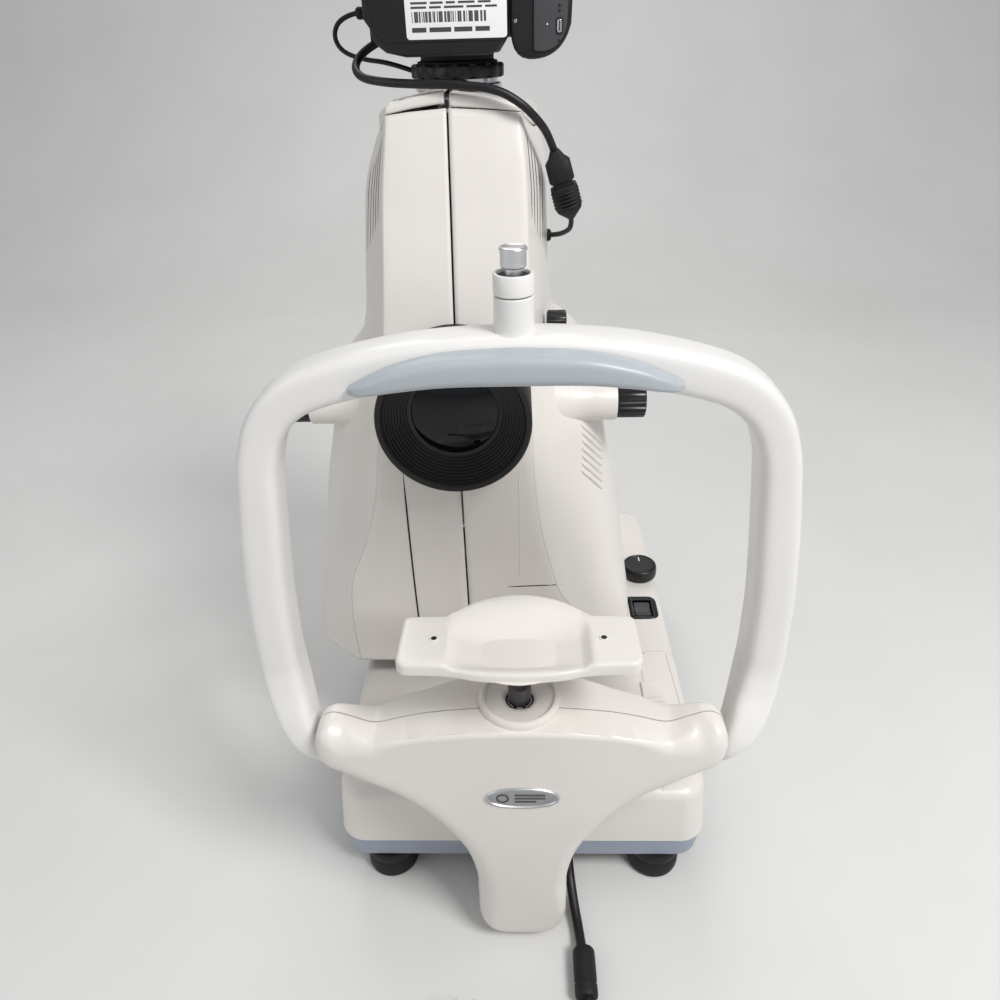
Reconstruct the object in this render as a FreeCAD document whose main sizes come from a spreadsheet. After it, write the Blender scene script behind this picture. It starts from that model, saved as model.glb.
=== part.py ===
import FreeCAD, Part
import math
import os
import Sketcher

# A non-mydriatic eye-fundus camera, seen from the patient's side: the patient faces +Y, +X is to the
# right, +Z is up, and the feet stand on z = 0. Lengths are in millimetres. Every sub-part is drawn
# about its own centre plane, x = 0, and then placed on that plane: mid_x for the base and the
# chinrest, head_x for everything that the stage carries.

SIZES = {
    "mid_x": 5, "head_x": -35, "wall": 3, "gap": 0.3, "fit": 0.05,
    # base
    "base_half": 146, "base_front": -212, "base_back": 180, "base_low": 53, "base_top": 110,
    "base_corner": 22, "skirt_inset": 6, "skirt_low": 38, "plate_low": 42, "plate_top": 46,
    "foot_r": 21, "foot_x": 109, "foot_front": -190, "foot_back": 150,
    "strip_x": 124, "lock_y": 55, "lock_r": 16, "lock_top": 122,
    "rocker_x": 120, "rocker_y": -6, "flap_x": 113, "flap_y": -110, "flap_wide": 18, "flap_long": 22,
    # stage
    "rail_x": 95, "stage_y": 20, "rod_y": 15, "rod_z": 75, "rod_r": 6, "deck_low": 124, "deck_top": 130,
    "deck_front": -55, "deck_back": 110,
    "post_half": 25, "guide_x": 60, "guide_r": 8, "guide_top": 300, "screw_y": 45, "screw_r": 6,
    "console_half": 85, "console_front": 140, "console_back": 269, "console_top": 142,
    "stick_y": 215, "stick_z": 134, "grip_r": 13, "grip_top": 228, "pin_r": 1.5,
    # chinrest and arch
    "shaft_y": -231, "shaft_r": 7.5, "housing_front": -254, "housing_split": -238, "housing_back": -208,
    "housing_top": 228, "collar_r": 26, "collar_top": 238, "chin_z": 285, "chin_half": 71,
    "pin_pitch": 100, "pin_y": -240, "arch_y": -210, "arch_deep": 30, "arch_top": 470,
    "bar_low": 446, "socket_r": 10,
    # head
    "head_low": 135, "head_top": 553, "axis_z": 386, "barrel_front": -146, "barrel_r": 50,
    "panel_half": 62, "shoulder_z": 394, "focus_y": -60, "focus_z": 362, "knob_r": 13, "knob_end": 134,
    "port_x": 4, "port_y": -5, "port_top": 584, "dial_y": -45, "dial_z": 418, "tilt_y": 132, "tilt_z": 345,
    # camera body
    "slr_plate": -47, "slr_top": 50, "slr_left": -48, "slr_right": 77, "slr_back": 650,
    # leads
    "lead_r": 3.75, "coil_r": 45, "coil_y": -385, "inlet_x": 37, "inlet_z": 23,
}

doc = FreeCAD.newDocument("FundusCamera")
sheet = doc.addObject("Spreadsheet::Sheet", "Dims")
for row, (alias, number) in enumerate(SIZES.items(), start=1):
    sheet.set("A%d" % row, alias)
    sheet.set("B%d" % row, str(number))
    sheet.setAlias("B%d" % row, alias)
doc.recompute()

NODES = {}


class Size:
    """A length from the sheet: its value now, and the expression that keeps a feature bound to it."""

    def __init__(self, text, value):
        self.text = text
        self.value = float(value)

    def __float__(self):
        return self.value

    def __neg__(self):
        return Size("(-%s)" % self.text, -self.value)

    def __add__(self, other):
        other = size(other)
        return Size("(%s + %s)" % (self.text, other.text), self.value + other.value)

    def __sub__(self, other):
        other = size(other)
        return Size("(%s - %s)" % (self.text, other.text), self.value - other.value)

    def __mul__(self, other):
        other = size(other)
        return Size("(%s * %s)" % (self.text, other.text), self.value * other.value)

    __radd__ = __add__
    __rmul__ = __mul__

    def __rsub__(self, other):
        return size(other) - self


def size(number):
    return number if isinstance(number, Size) else Size("(%r)" % float(number), number)


class Sheet:
    """Sheet cells by name: D.wall is the cell with the alias wall."""

    def __getattr__(self, alias):
        return Size("Dims.%s" % alias, sheet.get(alias))


D = Sheet()


def bind(item, **lengths):
    for name, length in lengths.items():
        item.setExpression(name.replace("__", "."), size(length).text)
    return item


def move(item, x=0, y=0, z=0):
    return bind(item, Placement__Base__x=x, Placement__Base__y=y, Placement__Base__z=z)


def box(x, y, z):
    item = doc.addObject("Part::Box", "Block")
    bind(item, Length=x[1] - size(x[0]), Width=y[1] - size(y[0]), Height=z[1] - size(z[0]))
    return move(item, x[0], y[0], z[0])


def turn_to(item, axis):
    turns = {"X": ((0, 1, 0), 90), "Y": ((1, 0, 0), -90), "Z": ((0, 0, 1), 0)}
    direction, angle = turns[axis]
    item.Placement = FreeCAD.Placement(FreeCAD.Vector(), FreeCAD.Rotation(FreeCAD.Vector(*direction), angle))


def along(item, axis, start, side):
    """Put a round item's start on its axis; side holds the axis's other two coordinates."""
    places = {"X": (start, side[0], side[1]), "Y": (side[0], start, side[1]), "Z": (side[0], side[1], start)}
    return move(item, *places[axis])


def rod(axis, radius, start, end, side=(0, 0)):
    item = doc.addObject("Part::Cylinder", "Rod")
    turn_to(item, axis)
    bind(item, Radius=radius, Height=end - size(start))
    return along(item, axis, start, side)


def taper(axis, first, last, start, end, side=(0, 0)):
    item = doc.addObject("Part::Cone", "Taper")
    turn_to(item, axis)
    bind(item, Radius1=first, Radius2=last, Height=end - size(start))
    return along(item, axis, start, side)


def ball(radius, x, y, z):
    item = doc.addObject("Part::Sphere", "Ball")
    bind(item, Radius=radius)
    return move(item, x, y, z)


def cut(base, *tools):
    for tool in tools:
        item = doc.addObject("Part::Cut", "Cut")
        item.Base = base
        item.Tool = tool
        base = item
    return base


def fuse(*parts):
    item = doc.addObject("Part::MultiFuse", "Fuse")
    item.Shapes = list(parts)
    return item


def common(base, tool):
    item = doc.addObject("Part::Common", "Common")
    item.Base = base
    item.Tool = tool
    return item


def tube(axis, outer, inner, start, end, side=(0, 0)):
    return cut(rod(axis, outer, start, end, side), rod(axis, inner, start, end, side))


def solid(shape):
    item = doc.addObject("Part::Feature", "Shell")
    item.Shape = shape
    return item


def node(name, plane, *parts):
    """One sub-part: its solids, placed on its centre plane."""
    item = doc.addObject("Part::Compound", name)
    item.Label = name
    item.Links = list(parts)
    bind(item, Placement__Base__x=plane)
    NODES[name] = item


# ---- outlines: (x, y) is a straight run to that point, (through x, y, to x, y) an arc to it ----

def flat(point):
    return FreeCAD.Vector(float(point[0]), float(point[1]), 0)


def edges_of(outline):
    here = outline[0]
    for step in outline[1:] + outline[:1]:
        there = step[-2:]
        start, end = flat(here), flat(there)
        if (end - start).Length > 1e-6:
            curve = Part.Arc(start, flat(step[:2]), end) if len(step) == 4 else Part.LineSegment(start, end)
            yield curve, here, there
        here = there


def tie(sketch, index, end, point):
    """Hold one end of an edge at the point that the sheet gives."""
    for kind, length, axis in (("DistanceX", point[0], -2), ("DistanceY", point[1], -1)):
        length = size(length)
        if abs(length.value) < 1e-9:
            sketch.addConstraint(Sketcher.Constraint("PointOnObject", index, end, axis))
            continue
        made = sketch.addConstraint(Sketcher.Constraint(kind, -1, 1, index, end, length.value))
        sketch.setExpression("Constraints[%d]" % made, length.text)


def pad(plane, outline, start, end):
    """A sketched outline on XY, XZ or YZ, padded from start to end along the third axis."""
    body = doc.addObject("PartDesign::Body", "Padded")
    sketch = body.newObject("Sketcher::SketchObject", "Outline")
    origin = [item for item in body.Origin.OriginFeatures if item.Role == plane + "_Plane"][0]
    sketch.AttachmentSupport = [(origin, "")]
    sketch.MapMode = "FlatFace"
    for curve, here, there in edges_of(outline):
        index = sketch.addGeometry(curve, False)
        made = sketch.Geometry[index]
        forward = (made.StartPoint - flat(here)).Length < 1e-6
        tie(sketch, index, 1 if forward else 2, here)
        tie(sketch, index, 2 if forward else 1, there)
        if hasattr(made, "Radius"):
            sketch.addConstraint(Sketcher.Constraint("Radius", index, made.Radius))
    feature = body.newObject("PartDesign::Pad", "Pad")
    feature.Profile = sketch
    bind(feature, Length=end - size(start))
    places = {"XY": (0, 0, start), "XZ": (0, end, 0), "YZ": (start, 0, 0)}
    return move(body, *places[plane])


def slab(plane, outline, start, end, inset=0.0):
    """The same prism as a plain shape, its outline moved inwards by inset."""
    face = Part.Face(Part.Wire([curve.toShape() for curve, here, there in edges_of(outline)]))
    if inset:
        face = face.makeOffset2D(-float(inset))
    if plane == "XZ":
        face.rotate(FreeCAD.Vector(), FreeCAD.Vector(1, 0, 0), 90)
        face.translate(FreeCAD.Vector(0, float(start), 0))
        return face.extrude(FreeCAD.Vector(0, float(end) - float(start), 0))
    face.rotate(FreeCAD.Vector(), FreeCAD.Vector(1, 1, 1), 120)
    face.translate(FreeCAD.Vector(float(start), 0, 0))
    return face.extrude(FreeCAD.Vector(float(end) - float(start), 0, 0))


def block(x, y, z):
    corner = FreeCAD.Vector(float(x[0]), float(y[0]), float(z[0]))
    return Part.makeBox(float(x[1]) - corner.x, float(y[1]) - corner.y, float(z[1]) - corner.z, corner)


def rounded(half, low, high, radius):
    """A rectangle from -half to half and low to high, with round corners."""
    bulge = size(radius) * (1 - math.sqrt(0.5))
    inner = half - size(radius)
    return [
        (-inner, low), (inner, low), (half - bulge, low + bulge, half, low + radius),
        (half, high - radius), (half - bulge, high - bulge, inner, high),
        (-inner, high), (bulge - half, high - bulge, -size(half), high - radius),
        (-size(half), low + radius), (bulge - half, low + bulge, -inner, low),
    ]


def mirrored(outline):
    """The right half of an outline, from bottom to top, with its mirror image."""
    left = []
    for index in range(len(outline) - 1, -1, -1):
        point = outline[index]
        after = outline[index + 1] if index + 1 < len(outline) else point
        spot = (-size(point[-2]), point[-1])
        left.append((-size(after[0]), after[1]) + spot if len(after) == 4 else spot)
    return outline + left


# ---- base ----

def make_base():
    outer = pad("XY", rounded(D.base_half, D.base_front, D.base_back, D.base_corner), D.base_low, D.base_top)
    inner = pad("XY", rounded(D.base_half - D.wall, D.base_front + D.wall, D.base_back - D.wall,
                              D.base_corner - D.wall), D.base_low, D.base_top - D.wall)
    window = box((-78, 78), (-54, 60), (D.base_top - 5, D.base_top + 5))
    lock_hole = rod("Z", 4.4, D.base_top - 5, D.base_top + 5, (D.strip_x, D.lock_y))
    rocker_hole = box((D.rocker_x - 10, D.rocker_x + 10), (D.rocker_y - 12, D.rocker_y + 12), (100, 115))
    flap_hole = box((D.flap_x - 7, D.flap_x + 7), (D.flap_y - 9, D.flap_y + 9), (100, 115))
    node("base_cover", D.mid_x, cut(outer, inner, window, lock_hole, rocker_hole, flap_hole))

    inset = D.skirt_inset
    ring = pad("XY", rounded(D.base_half - inset, D.base_front + inset, D.base_back - inset,
                             D.base_corner - inset), D.skirt_low, D.base_low)
    hole = pad("XY", rounded(D.base_half - inset - 4, D.base_front + inset + 4, D.base_back - inset - 4,
                             D.base_corner - inset - 4), D.skirt_low, D.base_low)
    node("base_skirt", D.mid_x, cut(ring, hole))
    node("base_plate", D.mid_x, pad("XY", rounded(D.base_half - inset - 4, D.base_front + inset + 4,
                                                  D.base_back - inset - 4, D.base_corner - inset - 4),
                                    D.plate_low, D.plate_top))
    feet = []
    for side in (-1, 1):
        for y in (D.foot_front, D.foot_back):
            place = (side * D.foot_x, y)
            shoe = taper("Z", D.foot_r - 1.5, D.foot_r, 0, 12, place)
            neck = rod("Z", D.foot_r, 12, D.skirt_low, place)
            stud = rod("Z", 8, D.skirt_low, D.plate_low, place)
            feet.append(fuse(shoe, neck, stud))
    node("feet", D.mid_x, *feet)
    supply = box((-125, -15), (98, 165), (D.plate_top, 92))
    fan = rod("Y", 18, 92, 98, (-70, 69))
    board = box((10, 125), (98, 165), (D.plate_top + 4, D.plate_top + 6))
    posts = [rod("Z", 3, D.plate_top, D.plate_top + 4, (x, y)) for x in (16, 119) for y in (104, 159)]
    chips = [box((x, x + 22), (112, 140), (D.plate_top + 6, D.plate_top + 14)) for x in (22, 62)]
    node("base_electronics", D.mid_x, fuse(supply, fan), fuse(board, *(posts + chips)))
    shell = box((D.inlet_x - 17, D.inlet_x + 17), (-170, -132), (11, D.plate_low))
    node("power_inlet", D.mid_x, shell)
    rails = [box((side * D.rail_x - 6, side * D.rail_x + 6), (-88, 90), (D.plate_top, 56)) for side in (-1, 1)]
    node("stage_rails", D.mid_x, *rails)
    heads = []
    for x, y in ((-60, 120), (60, 120), (-120, -60), (120, -150)):
        heads.append(taper("Z", 3, 5, D.plate_low - 2.5, D.plate_low, (x, y)))
    node("plate_screws", D.mid_x, *heads)
    cap = rod("Z", D.lock_r, D.base_top + 0.5, D.lock_top, (D.strip_x, D.lock_y))
    shank = rod("Z", 4, 92, D.base_top + 1, (D.strip_x, D.lock_y))
    node("stage_lock_knob", D.mid_x, fuse(cap, shank))
    key = box((D.rocker_x - 8, D.rocker_x + 8), (D.rocker_y - 10, D.rocker_y + 10), (D.base_top - 7, D.base_top + 2))
    pivot = rod("X", D.pin_r, D.rocker_x - 9.5, D.rocker_x + 9.5, (D.rocker_y, D.base_top - 5))
    node("chinrest_rocker", D.mid_x, fuse(key, pivot))
    edge, long = D.flap_x + D.flap_wide * 0.5, (D.flap_y - D.flap_long * 0.5, D.flap_y + D.flap_long * 0.5)
    lid = box((D.flap_x - D.flap_wide * 0.5, edge), long, (D.base_top + 0.1, D.base_top + 2.1))
    node("strip_flap", D.mid_x, fuse(lid, rod("Y", 1, *long, (edge, D.base_top + 1.1))))


# ---- cross stage, lift and joystick ----

def make_stage():
    floor = cut(box((-101, 101), (-10, 50), (56.1, 64)), box((-60, 60), (0, 40), (50, 70)))
    cheeks = [box((side * 98 - 3, side * 98 + 3), (-10, 50), (64, 86)) for side in (-1, 1)]
    rods = [rod("X", D.rod_r, -96, 96, (D.stage_y + side * D.rod_y, D.rod_z)) for side in (-1, 1)]
    node("cross_carriage", D.mid_x, fuse(floor, *(cheeks + rods)))

    post = D.post_half
    slider = box((-post, post), (D.stage_y - post, D.stage_y + post), (66, D.deck_low))
    bores = [rod("X", D.rod_r + D.fit, -40, 40, (D.stage_y + side * D.rod_y, D.rod_z)) for side in (-1, 1)]
    deck = pad("XY", rounded(100, D.deck_front, D.deck_back, 14), D.deck_low, D.deck_top)
    tongue = box((-50, 50), (60, 230), (114, D.deck_low))
    legs = [rod("Z", 5, D.deck_low, D.console_top - D.wall, (x, y)) for x in (-42, 42) for y in (175, 222)]
    ears = [box((side * 21 - 2, side * 21 + 2), (D.stick_y - 5, D.stick_y + 5), (D.deck_low, D.stick_z + 4))
            for side in (-1, 1)]
    bores.append(rod("X", D.pin_r + D.fit, -25, 25, (D.stick_y, D.stick_z)))
    node("stage_deck", D.head_x, cut(fuse(slider, deck, tongue, *(legs + ears)), *bores))
    guides = [rod("Z", D.guide_r, D.deck_top, D.guide_top, (side * D.guide_x, D.stage_y)) for side in (-1, 1)]
    node("lift_guides", D.head_x, *guides)
    case = box((-21, 21), (D.screw_y - 21, D.screw_y + 21), (D.deck_top, 164))
    node("lift_motor", D.head_x, case)
    thread = rod("Z", D.screw_r, 164.3, 285, (0, D.screw_y))
    coupling = rod("Z", 10, 164.3, 182, (0, D.screw_y))
    node("lift_screw", D.head_x, fuse(thread, coupling))

    side, front, back, top = D.console_half, D.console_front, D.console_back, D.console_top
    outer = pad("XY", rounded(side, front, back, 24), 113, top)
    inner = pad("XY", rounded(side - D.wall, front + D.wall, back - D.wall, 21), 113, top - D.wall)
    slot = box((-50.2, 50.2), (front - 5, front + 5), (110, D.deck_low + 0.2))
    well = rod("Z", 22, 130, 150, (0, D.stick_y))
    node("console_cover", D.head_x, cut(outer, inner, slot, well))
    ring = tube("Z", 16, 9.3, D.stick_z - 5, D.stick_z + 5, (0, D.stick_y))
    trunnions = [rod("X", D.pin_r, side * 18 - 3.5, side * 18 + 3.5, (D.stick_y, D.stick_z)) for side in (-1, 1)]
    cross_bore = rod("Y", D.pin_r + D.fit, D.stick_y - 20, D.stick_y + 20, (0, D.stick_z))
    node("joystick_gimbal", D.head_x, cut(fuse(ring, *trunnions), cross_bore))
    knuckle = fuse(ball(8.5, 0, D.stick_y, D.stick_z),
                   rod("Y", D.pin_r, D.stick_y - 15, D.stick_y + 15, (0, D.stick_z)))
    stalk = rod("Z", 5, D.stick_z, 152, (0, D.stick_y))
    grip = rod("Z", D.grip_r, 150, D.grip_top, (0, D.stick_y))
    seat = rod("Z", 6.6, D.grip_top - 10, D.grip_top + 1, (0, D.stick_y))
    node("joystick_stick", D.head_x, cut(fuse(knuckle, stalk, grip), seat))
    node("height_ring", D.head_x, tube("Z", 19, D.grip_r + D.gap, 153, 168, (0, D.stick_y)))
    node("capture_button", D.head_x, rod("Z", 6.2, D.grip_top - 6, D.grip_top + 3, (0, D.stick_y)))


# ---- chinrest, its housing and the headrest arch ----

def housing_outline():
    return mirrored([
        (0, 8), (22, 8), (30, 11, 33, 20), (33, 76), (37, 110, 54, 141), (75, 169, 106, 186),
        (121, 190, 130, 198), (131, 212), (129, 221, 121, 223), (112, 222), (93, D.housing_top), (0, D.housing_top),
    ])


def make_housing():
    outline = housing_outline()
    split, front, back = D.housing_split, D.housing_front, D.housing_back
    shaft = Part.makeCylinder(13, 40, FreeCAD.Vector(0, float(D.shaft_y), float(D.housing_top) - 20))
    front_solid = slab("XZ", outline, front, split)
    front_hollow = slab("XZ", outline, front + D.wall, split, D.wall)
    node("housing_front", D.mid_x, solid(front_solid.cut(front_hollow).cut(shaft)))
    upper = block((-140, 140), (front, back), (110, 240))
    rear_solid = slab("XZ", outline, split, back).common(upper)
    stem = slab("XZ", outline, split, D.base_front).common(block((-40, 40), (front, 0), (0, 110)))
    rear_hollow = slab("XZ", outline, split, back - D.wall, D.wall).common(upper)
    stem_hollow = slab("XZ", outline, split, D.base_front - D.wall, D.wall)
    stem_hollow = stem_hollow.common(block((-40, 40), (front, 0), (0, 120)))
    shell = rear_solid.fuse(stem).cut(rear_hollow).cut(stem_hollow).cut(shaft).removeSplitter()
    node("housing_rear", D.mid_x, solid(shell))
    bracket = box((-20, 20), (-235, D.base_front - D.wall), (58, 100))
    block_top = box((-14, 14), (D.shaft_y - 12, D.shaft_y + 12), (100, 205))
    bore = rod("Z", D.shaft_r + D.fit, 118, 210, (0, D.shaft_y))
    drive = rod("Z", 5, 90, 120, (0, D.shaft_y))
    node("chinrest_bracket", D.mid_x, cut(fuse(bracket, block_top), bore, drive))
    node("chinrest_motor", D.mid_x, box((-12, 12), (D.shaft_y - 6, D.shaft_y + 14), (28, 57.8)))
    collar = taper("Z", D.collar_r, D.collar_r - 3, D.housing_top + 0.1, D.collar_top, (0, D.shaft_y))
    throat = rod("Z", D.shaft_r + 1.5, D.housing_top - 5, D.collar_top + 5, (0, D.shaft_y))
    node("shaft_collar", D.mid_x, cut(collar, throat))
    node("name_badge", D.mid_x, make_badge())


def make_badge():
    """A blank oval plate that lies on the housing's front."""
    badge = Part.makeCylinder(10, 1.6, FreeCAD.Vector(), FreeCAD.Vector(0, -1, 0))
    stretch = FreeCAD.Matrix()
    stretch.scale(FreeCAD.Vector(2.5, 1, 1))
    badge = badge.transformGeometry(stretch)
    badge.translate(FreeCAD.Vector(0, float(D.housing_front), 166))
    return solid(badge)


def make_chinrest():
    shaft = cut(rod("Z", D.shaft_r, 150, D.chin_z - 4, (0, D.shaft_y)), rod("Z", 4.4, 140, 240, (0, D.shaft_y)))
    node("chin_shaft", D.mid_x, shaft)
    node("chin_screw", D.mid_x, rod("Z", 4, 104, 205, (0, D.shaft_y)))
    half, low = D.chin_half, D.chin_z
    wings = pad("XY", rounded(half, -262, -219, 6), low, low + 8)
    basin = rod("Z", 41, low - 4, low + 16, (0, -232))
    basin = common(basin, box((-50, 50), (-269, -206), (low - 5, low + 20)))
    hollow = taper("Z", 30, 37, low + 1, low + 18, (0, -234))
    rest = cut(fuse(wings, basin), hollow)
    holes = [rod("Z", 1.75, low - 5, low + 20, (side * D.pin_pitch * 0.5, D.pin_y)) for side in (-1, 1)]
    node("chin_cup", D.mid_x, cut(rest, *holes))


def arch_outline():
    """Half of the arch, from its lower tip up the outside and back down the inside."""
    outer = [
        (132, 200), (152, 203, 164, 225), (168, 262), (160, 349), (153, 397),
        (146, 426, 124, 444), (62, 463, 0, D.arch_top),
    ]
    inner = [
        (0, D.bar_low), (62, 444, 106, 435), (125, 421, 132, 395), (139, 340, 142, 285),
        (142, 243), (140, 230, 132, 222),
    ]
    return outer, inner


def make_arch():
    outer, inner = arch_outline()
    half = solid(slab("XZ", outer + inner, D.arch_y - D.arch_deep * 0.5, D.arch_y + D.arch_deep * 0.5))
    twin = doc.addObject("Part::Mirroring", "Twin")
    twin.Source = half
    twin.Normal = (1, 0, 0)
    socket = rod("Z", D.socket_r, D.arch_top - 6, 487.5, (0, D.arch_y))
    node("headrest_arch", D.mid_x, fuse(half, twin, socket))
    outline = mirrored([(0, 449), (40, 448, 76, 444), (80, 447), (50, 459.1, 0, 466.5)])
    front = D.arch_y - D.arch_deep * 0.5
    node("forehead_pad", D.mid_x, solid(slab("XZ", outline, front - 14, front)))
    sleeve = tube("Z", D.socket_r, 6, 488, 498.5, (0, D.arch_y))
    node("lamp_sleeve", D.mid_x, sleeve)
    stem = rod("Z", 4, 488.2, 502, (0, D.arch_y))
    knob = rod("Z", 6.5, 501, 510.5, (0, D.arch_y))
    node("lamp_knob", D.mid_x, fuse(stem, knob))


# ---- head ----

def head_shell():
    front_half = [
        (0, 100), (138, 100), (138, 150), (135, 190), (130, 247), (120, 290), (106, 345), (112, 368),
        (106, 382), (84, 392), (70, 405), (66, 425), (67, 480), (63, 515), (54, 541), (40, 556), (0, 562),
    ]
    side_view = [
        (-95, 100), (-96, 150), (-112, 200), (-114, 300), (-108, 385), (-90, 450), (-64, 535), (-52, 560),
        (60, 566), (74, 530), (92, 420), (120, 360), (130, 290), (130, 100),
    ]
    front_view = mirrored(front_half)
    shells = []
    for inset in (0, D.wall):
        shells.append(slab("XZ", front_view, -150, 150, inset).common(slab("YZ", side_view, -150, 150, inset)))
    return shells[0].cut(shells[1])


def make_head():
    shell = head_shell()
    barrel = Part.makeCylinder(float(D.barrel_r) + 0.3, 60, FreeCAD.Vector(0, -150, float(D.axis_z)),
                               FreeCAD.Vector(0, 1, 0))
    bore = Part.makeCylinder(4.4, 300, FreeCAD.Vector(-150, float(D.focus_y), float(D.focus_z)),
                             FreeCAD.Vector(1, 0, 0))
    port = Part.makeCylinder(27.3, 30, FreeCAD.Vector(float(D.port_x), float(D.port_y), 545))
    shell = shell.cut(barrel).cut(bore).cut(port)
    tilt = (float(D.tilt_y), float(D.tilt_z))
    for name, side in (("left", -1), ("right", 1)):
        near, far = sorted((0, side * 150))
        inside = sorted((0, side * float(D.panel_half)))
        tower = block((near, far), (-160, 160), (D.shoulder_z, D.head_top))
        panel = block(inside, (-160, 160), (D.head_low, D.shoulder_z))
        ear = block(sorted((side * 32, side * 38)), (112, D.tilt_y), (338, 352))
        knuckle = Part.makeCylinder(7, 6, FreeCAD.Vector(min(side * 32, side * 38), *tilt), FreeCAD.Vector(1, 0, 0))
        ear = ear.fuse(knuckle)
        pin = Part.makeCylinder(4.3, 100, FreeCAD.Vector(-50, *tilt), FreeCAD.Vector(1, 0, 0))
        cover = shell.common(tower.fuse(panel)).fuse(ear).cut(pin).removeSplitter()
        node("head_cover_" + name, D.head_x, solid(cover))
        outside = sorted((side * float(D.panel_half), side * 150))
        flank = shell.common(block(outside, (-160, 160), (D.head_low, D.shoulder_z)))
        start, end = sorted((side * 104.0, side * 113.0))
        axis = (FreeCAD.Vector(start, float(D.focus_y), float(D.focus_z)), FreeCAD.Vector(1, 0, 0))
        boss = Part.makeCylinder(14, end - start, *axis).cut(Part.makeCylinder(4.4, end - start, *axis))
        node("side_cover_" + name, D.head_x, solid(flank.fuse(boss).removeSplitter()))
    caps = []
    for side in (-1, 1):
        near, far = sorted((side * 1.5, side * 150))
        caps.append(solid(shell.common(block((near, far), (-160, 160), (D.head_top, 600)))))
    node("top_caps", D.head_x, *caps)
    make_optics()
    make_frame()


def make_frame():
    bench = box((-78, 78), (-92, 100), (318, 326))
    hole = rod("Z", D.screw_r + 6, 310, 330, (0, D.screw_y))
    blocks = []
    for side in (-1, 1):
        blocks.append(rod("Z", 14, 200, 320, (side * D.guide_x, D.stage_y)))
    nut = box((-60, 60), (D.screw_y - 14, D.screw_y + 14), (232, 258))
    bores = [rod("Z", D.guide_r + D.fit, 190, 322, (side * D.guide_x, D.stage_y)) for side in (-1, 1)]
    thread = rod("Z", D.screw_r + D.fit, 220, 262, (0, D.screw_y))
    ribs = [box((side * 22 - 3, side * 22 + 3), (-92, -88), (326, 400)) for side in (-1, 1)]
    rods = [rod("Y", 3, -88, -14, (side * 22, D.axis_z)) for side in (-1, 1)]
    mast = box((-30, 30), (16, 22), (326, 540))
    node("optical_bench", D.head_x, cut(fuse(bench, mast, nut, *(blocks + ribs + rods)), hole, thread, *bores))


def make_optics():
    z = D.axis_z
    rim = tube("Y", D.barrel_r, 42, D.barrel_front, -100, (0, z))
    nose = tube("Y", D.barrel_r - 2, 28, D.barrel_front + 16, D.barrel_front + 22, (0, z))
    node("lens_barrel", D.head_x, fuse(rim, nose))
    node("objective_lens", D.head_x, rod("Y", 27.8, D.barrel_front + 15, D.barrel_front + 25, (0, z)))
    mirror = tube("Y", 18, 3, 0, 4, (0, z))
    relay = rod("Y", 14, -24, -18, (0, z))
    imaging = rod("Z", 18, 505, 513, (D.port_x, D.port_y))
    lamp = rod("X", 6, -20, 20, (60, 350))
    node("fixed_optics", D.head_x, mirror, relay, imaging, lamp)
    ring = tube("Y", 14, 11, -68, -52, (0, z))
    ears = [box((side * 22 - 9, side * 22 + 9), (-66, -54), (z - 5, z + 5)) for side in (-1, 1)]
    guides = [rod("Y", 3 + D.fit, -80, -40, (side * 22, z)) for side in (-1, 1)]
    rack = box((-4, 4), (-76, -44), (z - 15.6, z - 13.2))
    lens = rod("Y", 11, -62, -58, (0, z))
    carrier = cut(fuse(ring, rack, *ears), *guides)
    node("focus_lens_carrier", D.head_x, cut(carrier, rod("Y", 11, -70, -50, (0, z))), lens)
    shaft = rod("X", 4, -D.knob_end + 5, D.knob_end - 5, (D.focus_y, D.focus_z))
    pinion = rod("X", 8, -6, 6, (D.focus_y, D.focus_z))
    knobs = []
    for side in (-1, 1):
        start, end = sorted((side * 113.3, side * float(D.knob_end)))
        knobs.append(rod("X", D.knob_r, start, end, (D.focus_y, D.focus_z)))
    node("focus_knobs", D.head_x, fuse(shaft, pinion, *knobs))
    dial = rod("X", 7.5, 69.8, 76, (D.dial_y, D.dial_z))
    node("aperture_knob", D.head_x, dial)
    screen = pad("XZ", [(-82, 232), (82, 232), (82, 352), (-82, 352)], 140, 158)
    pin = rod("X", 4, -37, 37, (D.tilt_y, D.tilt_z))
    bridge = box((-31, 31), (D.tilt_y - 2, 141), (D.tilt_z - 3, D.tilt_z + 3))
    node("monitor", D.head_x, fuse(screen, pin, bridge))


# ---- camera body on its port ----

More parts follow.
